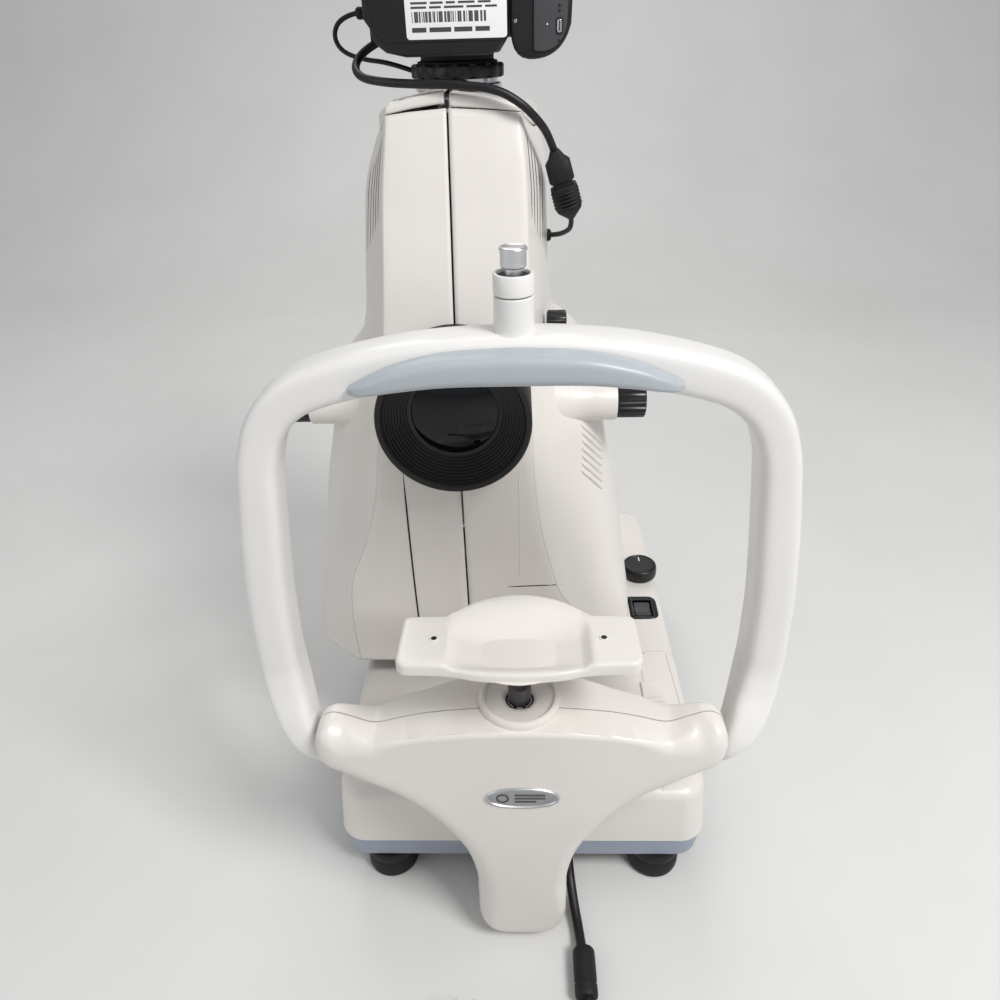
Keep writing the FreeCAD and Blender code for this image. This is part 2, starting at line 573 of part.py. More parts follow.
def make_camera():
    x, y = D.port_x, D.port_y
    ring = tube("Z", 27, 20, 545, 570, (x, y))
    flange = tube("Z", 30, 20, 570, 578, (x, y))
    neck = tube("Z", 23.5, 20, 578, D.port_top, (x, y))
    node("camera_port", D.head_x, fuse(ring, flange, neck))
    left, right = D.slr_left, D.slr_right
    outline = [(left, 604), (left + 22, D.port_top + 2), (36, D.port_top + 2), (36, 594), (40, 594), (40, 580),
               (right - 6, 580), (right, 586), (right, 645), (right - 8, D.slr_back), (left + 6, D.slr_back),
               (left, 643)]
    main = pad("XZ", outline, D.slr_plate, D.slr_top)
    hump = pad("XZ", [(-24, 592), (30, 592), (20, D.slr_back), (-14, D.slr_back)], D.slr_top, 62)
    throat = rod("Z", 20, D.port_top - 1, 600, (x, y))
    bay = box((50, 74), (D.slr_plate - 1, D.slr_plate + 2), (584, 622))
    seat = rod("Y", 4.9, D.slr_top - 3, D.slr_top + 1, (62, 604))
    eyepiece = box((-12, 18), (36, 58), (D.slr_back, 656))
    node("camera_body", D.head_x, cut(fuse(main, hump, eyepiece), throat, bay, seat))
    door = box((50.3, 73), (D.slr_plate - 0.8, D.slr_plate + 1.7), (584.3, 621.7))
    node("battery_door", D.head_x, fuse(door, rod("Z", 0.7, 584.3, 621.7, (73, D.slr_plate - 0.1))))
    node("mode_dial", D.head_x, rod("Y", 10, D.slr_top + 0.3, D.slr_top + 7, (50, 632)))
    node("shutter_release", D.head_x, rod("Y", 4.5, D.slr_top - 1, D.slr_top + 3, (62, 604)))


# ---- leads: straight runs joined by tangent arcs ----

def arc_radius(before, corner, after):
    first, second = corner - before, after - corner
    turn = first.getAngle(second)
    return 0.45 * min(first.Length, second.Length) / math.tan(turn / 2)


def lead(name, points, radius):
    points = [FreeCAD.Vector(*[float(value) for value in point]) for point in points]
    edges, here, radii = [], points[0], []
    for before, corner, after in zip(points, points[1:], points[2:]):
        bend = arc_radius(before, corner, after)
        radii.append(round(bend, 1))
        into, out = (corner - before).normalize(), (after - corner).normalize()
        setback = 0.45 * min((corner - before).Length, (after - corner).Length)
        start, end = corner - into * setback, corner + out * setback
        centre = start + (out - into * into.dot(out)).normalize() * bend
        middle = centre + (corner - centre).normalize() * bend
        edges.append(Part.LineSegment(here, start).toShape())
        edges.append(Part.Arc(start, middle, end).toShape())
        here = end
    edges.append(Part.LineSegment(here, points[-1]).toShape())
    path = Part.Wire(edges)
    ring = Part.Wire([Part.Circle(points[0], points[1] - points[0], float(radius)).toShape()])
    pipe = path.makePipeShell([ring], True, False)
    share = pipe.Volume / (math.pi * float(radius) ** 2 * path.Length)
    print("%s: %.0f mm long, volume share %.3f, bend radii %s" % (name, path.Length, share, radii))
    return solid(pipe)


LEAD_ROUTE = [
    (37, -197, 23), (37.5, -216, 21.5), (40, -235, 10), (43, -254, 4.4), (44.5, -275, 8.6),
    (46, -302, 8.6), (48.5, -326, 5), (50, -352, 4.4),
]
CAMERA_ROUTE = [
    (-41, -14, 592.5), (-51, -16, 589), (-60, -25, 580), (-55, -41, 573), (-38, -51, 570.5),
    (-18, -57, 569.5), (5, -60, 569), (30, -60, 568.5), (50, -55, 565), (63, -48, 554), (70, -42, 541),
    (74, -40, 526),
]
TAIL_ROUTE = [(75, -40, 487), (76, -38, 477), (77, -30, 469), (75, -18, 465), (67.4, -9, 464)]
TRIGGER_ROUTE = [
    (-60, 0, 607), (-70, 0, 605), (-76, -1, 596), (-72, -2, 586.5), (-58, -3, 581.5), (-41, -4, 579.5),
    (-26, -5, 574.5),
]


def make_leads():
    radius = D.lead_r
    node("mains_lead", D.mid_x, lead("mains_lead", LEAD_ROUTE, radius))
    x, z = D.inlet_x, D.inlet_z
    plug = box((x - 12, x + 12), (-190, -170), (z - 9, z + 9))
    relief = taper("Y", 4.6, 8, -197, -190, (x, z))
    core = cut(rod("Y", 8.5, -306, -271, (45.3, 8.6)), rod("Y", radius + 0.5, -306, -271, (45.3, 8.6)))
    side, y = D.coil_r, D.coil_y
    ring = tube("Z", side + radius * 2, side - radius * 2, 0, radius * 6, (5, y))
    riser = common(tube("Z", side + radius, side - radius, radius * 6, radius * 9.2, (5, y)),
                   box((-60, 5), (y - 60, y), (radius * 6, radius * 9.2)))
    node("lead_coil", D.mid_x, fuse(ring, riser))
    left, low = 5 - side, radius * 6
    neck = taper("Y", radius + 0.5, 7, y, y + 18, (left, low + 8))
    grip = box((left - 13, left + 13), (y + 18, y + 50), (low, low + 17))
    blades = [box((left + dx - 1, left + dx + 1), (y + 50, y + 67), (low + 5, low + 12)) for dx in (-6, 6)]
    node("lead_fittings", D.mid_x, fuse(plug, relief), core, fuse(neck, grip, *blades))

    node("camera_lead", D.head_x, lead("camera_lead", CAMERA_ROUTE, 2.5))
    body = taper("Z", 6, 7, 487, 526, (75, -40))
    node("lead_joint", D.head_x, body)
    node("joint_tail", D.head_x, lead("joint_tail", TAIL_ROUTE, 1.75))
    node("trigger_lead", D.head_x, lead("trigger_lead", TRIGGER_ROUTE, 1.5))
    node("camera_plugs", D.head_x, rod("X", 3.6, -60, D.slr_left, (0, 607)), rod("X", 3.6, -41, -33, (-14, 592.5)))


def check_everything():
    doc.recompute()
    for item in doc.Objects:
        if "Invalid" in item.State or "Error" in item.State:
            raise RuntimeError("%s: %s" % (item.Label, item.State))
    for name, item in NODES.items():
        if item.Shape.isNull() or not item.Shape.isValid() or not item.Shape.Solids:
            raise RuntimeError("bad shape: " + name)


def write_steps():
    os.makedirs("parts", exist_ok=True)
    for name, item in NODES.items():
        item.Shape.exportStep("parts/%s.step" % name)
    print(len(NODES), "nodes")


make_base()
make_stage()
make_housing()
make_chinrest()
make_arch()
make_head()
make_camera()
make_leads()
check_everything()
write_steps()
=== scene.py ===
import math

import bmesh
import bpy
import numpy as np
from mathutils import Matrix, Vector, geometry


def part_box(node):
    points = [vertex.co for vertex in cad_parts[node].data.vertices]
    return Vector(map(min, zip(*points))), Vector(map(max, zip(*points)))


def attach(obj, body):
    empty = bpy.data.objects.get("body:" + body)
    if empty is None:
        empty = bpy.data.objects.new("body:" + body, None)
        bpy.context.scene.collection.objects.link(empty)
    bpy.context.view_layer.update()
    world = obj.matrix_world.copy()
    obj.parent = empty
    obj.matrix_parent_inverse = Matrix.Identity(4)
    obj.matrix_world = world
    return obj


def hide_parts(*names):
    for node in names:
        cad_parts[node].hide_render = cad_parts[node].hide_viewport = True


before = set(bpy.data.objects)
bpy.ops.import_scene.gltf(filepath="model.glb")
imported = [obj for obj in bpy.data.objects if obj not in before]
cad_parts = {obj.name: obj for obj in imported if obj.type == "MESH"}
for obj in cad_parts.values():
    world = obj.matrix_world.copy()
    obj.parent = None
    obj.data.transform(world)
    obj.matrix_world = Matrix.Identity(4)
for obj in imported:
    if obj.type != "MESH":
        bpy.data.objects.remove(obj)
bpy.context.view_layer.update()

# An eye-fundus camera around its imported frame. Shapes are written in millimetres in the row frame and
# turned into metres when a mesh is made. MID is the centre plane of the base, chinrest and arch, HEAD
# that of the optical head on its stage.

MM = 0.001
UP, RIGHT, AWAY = Vector((0, 0, 1)), Vector((1, 0, 0)), Vector((0, 1, 0))


def span(node):
    """Lowest and highest corner of a CAD node, in millimetres."""
    return tuple(Vector(corner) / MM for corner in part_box(node))


def middle(node):
    """Centre of a CAD node's box, in millimetres."""
    low, high = span(node)
    return (low + high) / 2


MID = round(middle("base_cover").x, 3)
HEAD = round(middle("optical_bench").x, 3)


# ---- materials ----

class Nodes:
    """A node tree with short ways to add and join its nodes."""

    def __init__(self, name):
        self.material = bpy.data.materials.new(name)
        self.material.use_nodes = True
        self.tree = self.material.node_tree
        self.shader = self.tree.nodes["Principled BSDF"]
        self.place = self.add("ShaderNodeTexCoord").outputs["Object"]

    def add(self, kind, **settings):
        node = self.tree.nodes.new(kind)
        for key, value in settings.items():
            if hasattr(node, key):
                setattr(node, key, value)
            else:
                node.inputs[key.replace("_", " ")].default_value = value
        return node

    def join(self, start, end):
        self.tree.links.new(start, end)

    def noise(self, scale, detail=2.0, stretch=(1, 1, 1)):
        mapping = self.add("ShaderNodeMapping")
        mapping.inputs["Scale"].default_value = stretch
        noise = self.add("ShaderNodeTexNoise", Scale=scale, Detail=detail, Roughness=0.55)
        self.join(self.place, mapping.inputs["Vector"])
        self.join(mapping.outputs["Vector"], noise.inputs["Vector"])
        return noise.outputs["Fac"]

    def ramp(self, source, stops):
        ramp = self.add("ShaderNodeValToRGB")
        for index, (spot, colour) in enumerate(stops):
            stop = ramp.color_ramp.elements[index] if index < 2 else ramp.color_ramp.elements.new(spot)
            stop.position = spot
            stop.color = tuple(colour) + (1,)
        self.join(source, ramp.inputs["Fac"])
        return ramp.outputs["Color"]

    def spread(self, source, low, high, start=0.3, end=0.7):
        spread = self.add("ShaderNodeMapRange")
        for key, value in (("From Min", start), ("From Max", end), ("To Min", low), ("To Max", high)):
            spread.inputs[key].default_value = value
        self.join(source, spread.inputs["Value"])
        return spread.outputs["Result"]

    def bump(self, source, depth, strength=0.5, onto=None):
        bump = self.add("ShaderNodeBump", Strength=strength, Distance=depth * MM)
        self.join(source, bump.inputs["Height"])
        if onto is not None:
            self.join(onto, bump.inputs["Normal"])
        return bump.outputs["Normal"]

    def finish(self, colour, rough, normal=None, **constants):
        self.join(colour, self.shader.inputs["Base Color"])
        self.join(rough, self.shader.inputs["Roughness"])
        if normal is not None:
            self.join(normal, self.shader.inputs["Normal"])
        for key, value in constants.items():
            self.shader.inputs[key.replace("_", " ")].default_value = value
        return self.material


def tinted(colour, amount):
    """A colour made lighter or darker."""
    return tuple(max(0.0, min(1.0, part * amount)) for part in colour)


def moulded(name, colour, rough, grain=1500, depth=0.05, speck=0.03, coat=0.0):
    """Moulded plastic: a fine spark-eroded grain, faint clouding and uneven gloss from handling."""
    nodes = Nodes(name)
    cloud = nodes.noise(9, 3)
    smear = nodes.noise(28, 4, (1, 1, 0.35))
    tone = nodes.ramp(cloud, ((0.3, tinted(colour, 1 - speck)), (0.7, tinted(colour, 1 + speck))))
    shine = nodes.spread(smear, rough - 0.05, rough + 0.06)
    grained = nodes.bump(nodes.noise(grain, 2), depth, 0.35)
    normal = nodes.bump(nodes.noise(60, 2), 0.06, 0.12, grained)
    return nodes.finish(tone, shine, normal, Coat_Weight=coat, Coat_Roughness=0.2)


def rubbery(name, colour, rough=0.62, grain=2600):
    """Rubber or leather: matt, a little dusty, with a pebbled skin."""
    nodes = Nodes(name)
    dust = nodes.noise(120, 5)
    tone = nodes.ramp(dust, ((0.35, colour), (0.8, tinted(colour, 1.9))))
    shine = nodes.spread(nodes.noise(40, 3), rough - 0.1, rough + 0.1)
    normal = nodes.bump(nodes.noise(grain, 1), 0.05, 0.5)
    return nodes.finish(tone, shine, normal, Specular_IOR_Level=0.4)


def metal(name, colour, rough, stretch=(1, 1, 1), scale=900, depth=0.01):
    """Metal with fine turning or brushing marks along the axis whose stretch is small."""
    nodes = Nodes(name)
    marks = nodes.noise(scale, 3, stretch)
    tone = nodes.ramp(marks, ((0.25, tinted(colour, 0.86)), (0.75, tinted(colour, 1.06))))
    shine = nodes.spread(nodes.noise(70, 4), max(0.03, rough - 0.05), rough + 0.08)
    return nodes.finish(tone, shine, nodes.bump(marks, depth, 0.4), Metallic=1.0)


def coated_glass(name, colour):
    """Glass with a deep tint and a little dust. On the lenses the near-black tint is partly coating and
    partly painted shade for the dark bore behind them.
    """
    nodes = Nodes(name)
    dust = nodes.noise(260, 6)
    tone = nodes.ramp(nodes.noise(14, 1), ((0.3, colour), (0.7, tinted(colour, 1.5))))
    shine = nodes.spread(dust, 0.02, 0.09, 0.45, 0.8)
    return nodes.finish(tone, shine, None, Coat_Weight=0.15, Coat_Roughness=0.03, IOR=1.34)


def circuit(name):
    """A circuit board: light tracks on dark green."""
    nodes = Nodes(name)
    tracks = nodes.noise(420, 1, (1, 3, 1))
    tone = nodes.ramp(tracks, ((0.44, (0.01, 0.09, 0.04)), (0.52, (0.03, 0.2, 0.09))))
    return nodes.finish(tone, nodes.spread(tracks, 0.3, 0.5), nodes.bump(tracks, 0.05))


def printed_label(name):
    """White paper with a plain row of bars, none of it lettering."""
    nodes = Nodes(name)
    parts = nodes.add("ShaderNodeSeparateXYZ")
    nodes.join(nodes.place, parts.inputs["Vector"])
    across = nodes.add("ShaderNodeCombineXYZ")
    nodes.join(parts.outputs["X"], across.inputs["X"])
    wide = nodes.add("ShaderNodeTexNoise", Scale=900.0, Detail=1.0)
    nodes.join(across.outputs["Vector"], wide.inputs["Vector"])
    bars = nodes.spread(wide.outputs["Fac"], 0, 1, 0.47, 0.49)
    inside = None
    limits = (("Z", 0.6005, 0.6059), ("X", (HEAD - 19) * MM, (HEAD + 25) * MM))
    for axis, start, end in limits:
        for kind, value in (("GREATER_THAN", start), ("LESS_THAN", end)):
            test = nodes.add("ShaderNodeMath", operation=kind)
            nodes.join(parts.outputs[axis], test.inputs[0])
            test.inputs[1].default_value = value
            if inside is None:
                inside = test.outputs[0]
                continue
            both = nodes.add("ShaderNodeMath", operation="MULTIPLY")
            nodes.join(inside, both.inputs[0])
            nodes.join(test.outputs[0], both.inputs[1])
            inside = both.outputs[0]
    ink = nodes.add("ShaderNodeMath", operation="MULTIPLY")
    nodes.join(inside, ink.inputs[0])
    nodes.join(bars, ink.inputs[1])
    tone = nodes.ramp(ink.outputs[0], ((0.2, (0.88, 0.88, 0.86)), (0.6, (0.07, 0.07, 0.07))))
    return nodes.finish(tone, nodes.spread(nodes.noise(90, 3), 0.35, 0.5), nodes.bump(nodes.noise(700), 0.03))


IVORY = moulded("ivory_plastic", (0.74, 0.70, 0.655), 0.36, coat=0.12)
IVORY_COOL = moulded("arch_plastic", (0.76, 0.745, 0.72), 0.34, coat=0.15)
BLUE_GREY = moulded("blue_grey_plastic", (0.30, 0.335, 0.41), 0.42)
PAD = moulded("pad_silicone", (0.41, 0.445, 0.465), 0.34, grain=700, depth=0.08, speck=0.02)
BLACK = moulded("black_plastic", (0.006, 0.006, 0.007), 0.34, grain=1100, depth=0.08, speck=0.2)
# Black satin paint on the real black parts. The same near-black is also painted shade in gaps, slots, joints
# and hole linings, and it is kept this dark so the barrel's funnel reads as shadow.
BLACK_SOFT = moulded("black_satin_paint_and_painted_shade", (0.0035, 0.0035, 0.004), 0.55, grain=900, depth=0.05, speck=0.2)
DARK_GREY = moulded("dark_grey_plastic", (0.055, 0.055, 0.06), 0.4, grain=1200, depth=0.08, speck=0.1)
RUBBER = rubbery("black_rubber", (0.005, 0.005, 0.0055))
GRIP = rubbery("grip_rubber", (0.006, 0.006, 0.0065), 0.5, 1400)
CABLE = rubbery("cable_jacket", (0.005, 0.005, 0.0055), 0.42, 1800)
STEEL = metal("ground_steel", (0.50, 0.50, 0.52), 0.28, (1, 1, 0.05))
CHROME = metal("polished_chrome", (0.78, 0.78, 0.80), 0.08, (1, 1, 0.04), 1200, 0.004)
# Painted reflection: the chin shaft is polished chrome. Its dark base colour stands in for the dark
# surroundings it reflects.
SHAFT_PAINTED_DARK = metal("polished_shaft_painted_dark", (0.10, 0.10, 0.11), 0.10, (1, 1, 0.04), 1200, 0.004)
BRUSHED = metal("turned_alloy", (0.88, 0.88, 0.89), 0.3, (0.05, 0.05, 1), 1500)
ALLOY = metal("cast_alloy", (0.46, 0.47, 0.49), 0.4, (1, 1, 1), 300, 0.03)
ZINC = metal("zinc_plate", (0.42, 0.42, 0.43), 0.42, (1, 0.08, 1), 500, 0.02)
# Painted shade: the lenses are opaque and nearly black, standing in for the dark bore that shows through real
# glass.
GLASS = coated_glass("coated_glass", (0.002, 0.0022, 0.003))
SCREEN = coated_glass("dark_screen", (0.008, 0.009, 0.012))
BOARD = circuit("circuit_board")
LABEL = printed_label("bottom_label")
BADGE = metal("badge_plate", (0.70, 0.71, 0.72), 0.33, (0.04, 1, 1), 900)
WHITE_INK = moulded("white_ink", (0.75, 0.75, 0.73), 0.5)


# ---- meshes ----

def sharpen(mesh, angle=32):
    """Smooth shading that stops at edges sharper than the angle, in degrees."""
    for polygon in mesh.polygons:
        polygon.use_smooth = True
    mesh.set_sharp_from_angle(angle=math.radians(angle))


def turns(count, start=0.0):
    """Angles evenly spread over one turn."""
    return [2 * math.pi * (step + start) / count for step in range(count)]


def squared(value, power):
    """A sine or cosine pulled towards one, which makes a circle boxier as power falls below one."""
    return math.copysign(abs(value) ** power, value)


def build(name, points, faces, material, angle=32, reorient=True):
    """A mesh object from points in millimetres; reorient turns every face outwards."""
    mesh = bpy.data.meshes.new(name)
    mesh.from_pydata([Vector(point) * MM for point in points], [], faces)
    tidy = bmesh.new()
    tidy.from_mesh(mesh)
    bmesh.ops.remove_doubles(tidy, verts=tidy.verts, dist=0.01 * MM)
    loose = [vertex for vertex in tidy.verts if not vertex.link_faces]
    bmesh.ops.delete(tidy, geom=loose, context="VERTS")
    if reorient:
        bmesh.ops.recalc_face_normals(tidy, faces=tidy.faces)
    tidy.to_mesh(mesh)
    tidy.free()
    sharpen(mesh, angle)
    mesh.materials.append(material)
    item = bpy.data.objects.new(name, mesh)
    bpy.context.scene.collection.objects.link(item)
    return item


def place(item, body, slot, *nodes):
    """Let a piece ride on a body in place of the CAD nodes given; the slot argument is not used. Blender adds
    a number to a name that a CAD node has already; a word reads better."""
    item.name = item.name.replace(".001", "_shape")
    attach(item, body)
    if nodes:
        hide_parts(*nodes)
    return item


def merged(name, items):
    """Join several objects into the first, keeping each one's material."""
    target = items[0]
    mesh = bmesh.new()
    materials = list(target.data.materials)
    for item in items:
        slots = []
        for material in item.data.materials:
            if material not in materials:
                materials.append(material)
            slots.append(materials.index(material))
        before = len(mesh.faces)
        mesh.from_mesh(item.data)
        mesh.faces.ensure_lookup_table()
        for face in mesh.faces[before:]:
            face.material_index = slots[face.material_index]
    mesh.to_mesh(target.data)
    mesh.free()
    for material in materials[len(target.data.materials):]:
        target.data.materials.append(material)
    for item in items[1:]:
        bpy.data.objects.remove(item)
    target.name = name
    target.data.name = name
    return target


def loft(name, rings, material, caps=(True, True), loop=True, angle=32):
    """Skin rings of equally many points; loop closes each ring on itself."""
    count = len(rings[0])
    points = [point for ring in rings for point in ring]
    faces = []
    for row in range(len(rings) - 1):
        for index in range(count if loop else count - 1):
            after = (index + 1) % count
            faces.append((row * count + index, row * count + after,
                          (row + 1) * count + after, (row + 1) * count + index))
    if caps[0]:
        faces.append(tuple(range(count)))
    if caps[1]:
        faces.append(tuple(range((len(rings) - 1) * count, len(rings) * count)))
    return build(name, points, faces, material, angle)


AXES = {"X": (AWAY, UP, RIGHT), "Y": (UP, RIGHT, AWAY), "Z": (RIGHT, AWAY, UP)}


def lathe(name, axis, centre, profile, material, steps=72, angle=32):
    """Turn a profile of (radius, distance along the axis) about a line through centre."""
    across, side, along = AXES[axis]
    centre = Vector(centre)
    rings = []
    for radius, distance in profile:
        ring = []
        for turn in turns(steps):
            spot = centre + across * (radius * math.cos(turn)) + side * (radius * math.sin(turn))
            ring.append(spot + along * distance)
        rings.append(ring)
    caps = (profile[0][0] > 1e-6, profile[-1][0] > 1e-6)
    if profile[0] == profile[-1]:
        caps = (False, False)
    return loft(name, rings, material, caps, True, angle)


def soft_box(centre, across, up, wide, tall, power, steps=40):
    """A ring between an ellipse and a rectangle; wide and tall are half sizes."""
    ring = []
    for turn in turns(steps, 0.5):
        aside, rise = wide * squared(math.cos(turn), power), tall * squared(math.sin(turn), power)
        ring.append(centre + across * aside + up * rise)
    return ring


def rounded_ends(radius, start, end, edge, steps=5):
    """A rod's profile with both rims rounded."""
    sign = 1 if end > start else -1
    first, last = [], []
    for step in range(steps + 1):
        turn = math.pi / 2 * step / steps
        inset = edge * (1 - math.sin(turn))
        rise = edge * (1 - math.cos(turn)) * sign
        first.append((radius - inset, start + rise))
        last.append((radius - inset, end - rise))
    return first + last[::-1]


def rod(name, axis, centre, radius, start, end, material, edge=0.8, steps=72):
    """A plain round bar with rounded ends."""
    return lathe(name, axis, centre, rounded_ends(radius, start, end, edge), material, steps)


def arc(centre, radius, start, end, steps):
    """Points of an arc about centre; angles in degrees."""
    found = []
    for step in range(steps + 1):
        turn = math.radians(start + (end - start) * step / steps)
        found.append((centre[0] + radius * math.cos(turn), centre[1] + radius * math.sin(turn)))
    return found


def rounded_box_outline(left, right, low, high, radius, steps=8):
    """A rectangle with round corners, counter-clockwise; radius is one number or one for each corner,
    from the lower left."""
    radii = radius if isinstance(radius, (list, tuple)) else (radius,) * 4
    corners = (((left, low), (1, 1), 180), ((right, low), (-1, 1), 270), ((right, high), (-1, -1), 0),
               ((left, high), (1, -1), 90))
    outline = []
    for ((x, y), (dx, dy), start), bend in zip(corners, radii):
        outline += arc((x + dx * bend, y + dy * bend), bend, start, start + 90, steps)
    return outline


def smooth_line(points, steps=10):
    """Points of a Catmull-Rom curve through the given points."""
    points = [Vector(point) for point in points]
    count = len(points)
    line = []
    for index in range(count - 1):
        b, c = points[index], points[index + 1]
        a = points[index - 1] if index else b * 2 - c
        d = points[index + 2] if index + 2 < count else c * 2 - b
        for step in range(steps):
            t = step / steps
            line.append(((b * 2) + (c - a) * t + (a * 2 - b * 5 + c * 4 - d) * t ** 2
                         + (b * 3 - a - c * 3 + d) * t ** 3) * 0.5)
    return line + [points[-1]]


def table(rows, at):
    """Smoothly read a table of (key, value, value, ...) rows at a key."""
    keys = [row[0] for row in rows]
    if at <= keys[0]:
        return rows[0][1:]
    if at >= keys[-1]:
        return rows[-1][1:]
    index = max(i for i, key in enumerate(keys) if key <= at)
    index = min(index, len(rows) - 2)
    low, high = rows[index], rows[index + 1]
    before = rows[index - 1] if index else None
    after = rows[index + 2] if index + 2 < len(rows) else None
    width = high[0] - low[0]
    t = (at - low[0]) / width
    found = []
    for column in range(1, len(low)):
        here, there = low[column], high[column]
        slope = (there - here) / width
        start = slope if before is None else limited(slope, (here - before[column]) / (low[0] - before[0]))
        end = slope if after is None else limited(slope, (after[column] - there) / (after[0] - high[0]))
        found.append(here * (2 * t ** 3 - 3 * t ** 2 + 1) + there * (3 * t ** 2 - 2 * t ** 3)
                     + width * (start * (t ** 3 - 2 * t ** 2 + t) + end * (t ** 3 - t ** 2)))
    return found


def limited(one, two):
    """The slope between two slopes that keeps a curve from overshooting."""
    return 0.0 if one * two <= 0 else 2 * one * two / (one + two)


# How a point of a drawing plane and its height over that plane make a point of the row frame.
PLANES = {"XY": lambda a, b, c: (a, b, c), "XZ": lambda a, b, c: (a, c, b), "YZ": lambda a, b, c: (c, a, b)}


def slab(name, plane, outline, start, end, material, edge=1.0, segments=3, angle=32):
    """An outline extruded along the third axis, with every rim rounded."""
    order = PLANES[plane]
    count = len(outline)
    points = [order(a, b, start) for a, b in outline] + [order(a, b, end) for a, b in outline]
    faces = [tuple(range(count)), tuple(range(count, 2 * count))]
    faces += [(i, (i + 1) % count, count + (i + 1) % count, count + i) for i in range(count)]
    item = build(name, points, faces, material, angle)
    if edge:
        mesh = bmesh.new()
        mesh.from_mesh(item.data)
        rims = [e for e in mesh.edges if len(e.link_faces) == 2 and e.calc_face_angle(0) > math.radians(40)]
        bmesh.ops.bevel(mesh, geom=rims, offset=edge * MM, segments=segments, profile=0.5, affect="EDGES",
                        clamp_overlap=True)
        mesh.to_mesh(item.data)
        mesh.free()
        sharpen(item.data, angle)
    return item


def chunk(name, x, y, z, material, edge=1.0, segments=3):
    """A block with rounded edges."""
    outline = [(x[0], z[0]), (x[1], z[0]), (x[1], z[1]), (x[0], z[1])]
    return slab(name, "XZ", outline, y[0], y[1], material, edge, segments)


def dense(outline, pitch):
    """The same closed outline with no run longer than pitch."""
    found = []
    for (x1, y1), (x2, y2) in zip(outline, outline[1:] + outline[:1]):
        count = max(1, int(math.hypot(x2 - x1, y2 - y1) / pitch))
        found += [(x1 + (x2 - x1) * i / count, y1 + (y2 - y1) * i / count) for i in range(count)]
    return found


def distance_to(points, line):
    """How far each 2-D point is from a closed polyline."""
    start = np.array(line, float)
    end = np.roll(start, -1, axis=0)
    run = end - start
    length = np.maximum((run ** 2).sum(1), 1e-12)
    spots = np.array(points, float).reshape(-1, 2)
    best = np.full(len(spots), 1e9)
    for chosen in np.array_split(np.arange(len(spots)), max(1, len(spots) // 400)):
        gap = spots[chosen][:, None, :] - start[None]
        share = np.clip((gap * run[None]).sum(2) / length[None], 0, 1)
        away = gap - share[..., None] * run[None]
        best[chosen] = np.sqrt((away ** 2).sum(2)).min(1)
    return best


def inside(points, line):
    """Which 2-D points lie within a closed polyline."""
    spots = np.array(points, float).reshape(-1, 2)
    ring = np.array(line, float)
    found = np.zeros(len(spots), bool)
    for (x1, y1), (x2, y2) in zip(ring, np.roll(ring, -1, axis=0)):
        crosses = (y1 > spots[:, 1]) != (y2 > spots[:, 1])
        if crosses.any():
            at = x1 + (spots[:, 1] - y1) / (y2 - y1 + 1e-12) * (x2 - x1)
            found ^= crosses & (spots[:, 0] < at)
    return found


def offset_line(line, gap):
    """An open 2-D line moved sideways."""
    moved = []
    for index, (a, b) in enumerate(line):
        before, after = line[max(0, index - 1)], line[min(len(line) - 1, index + 1)]
        normal = Vector((before[1] - after[1], after[0] - before[0]))
        normal = normal.normalized() if normal.length else Vector((0, 0))
        moved.append((a + normal.x * gap, b + normal.y * gap))
    return moved


def groove_lanes(line, ring, half, depth):
    """The runs of points that shape one groove inside a ring, each point with how deep it lies."""
    runs = []
    for gap, sink in ((0, depth), (half * 0.55, depth), (-half * 0.55, depth), (half, 0), (-half, 0)):
        lane = offset_line(line, gap)
        run = []
        for spot, keep in zip(lane, inside(lane, ring) & (distance_to(lane, ring) > 0.15)):
            if keep:
                run.append((spot, sink))
            elif run:
                runs.append(run)
                run = []
        runs.append(run)
    return runs


def inner_points(ring, insets, pitch):
    """Rows of points along a ring at the given insets, and an even grid within them."""
    found = []
    closed_ring = ring + ring[:2]
    for inset in insets:
        line = []
        for before, here, after in zip(closed_ring, closed_ring[1:], closed_ring[2:]):
            normal = Vector((before[1] - after[1], after[0] - before[0]))
            if normal.length:
                normal.normalize()
                line.append((here[0] + normal.x * inset, here[1] + normal.y * inset))
        line = np.array(line)
        kept = inside(line, ring) & (distance_to(line, ring) > inset * 0.97)
        found += [tuple(point) for point in line[kept]]
    low, high = np.min(ring, axis=0), np.max(ring, axis=0)
    grid = np.stack(np.meshgrid(np.arange(low[0], high[0], pitch), np.arange(low[1], high[1], pitch)), -1)
    grid = grid.reshape(-1, 2)
    grid = grid[inside(grid, ring)]
    if len(grid):
        grid = grid[distance_to(grid, ring) > insets[-1] + pitch * 0.35]
    return found + [tuple(point) for point in grid]


def chained(rim):
    """The points of a closed rim in order, from its edges."""
    beside = {}
    for one, two in rim:
        beside.setdefault(one, []).append(two)
        beside.setdefault(two, []).append(one)
    first = rim[0][0]
    chain, here, last = [first], beside[first][0], first
    while here != first:
        chain.append(here)
        here, last = [point for point in beside[here] if point != last][0], here
    return chain


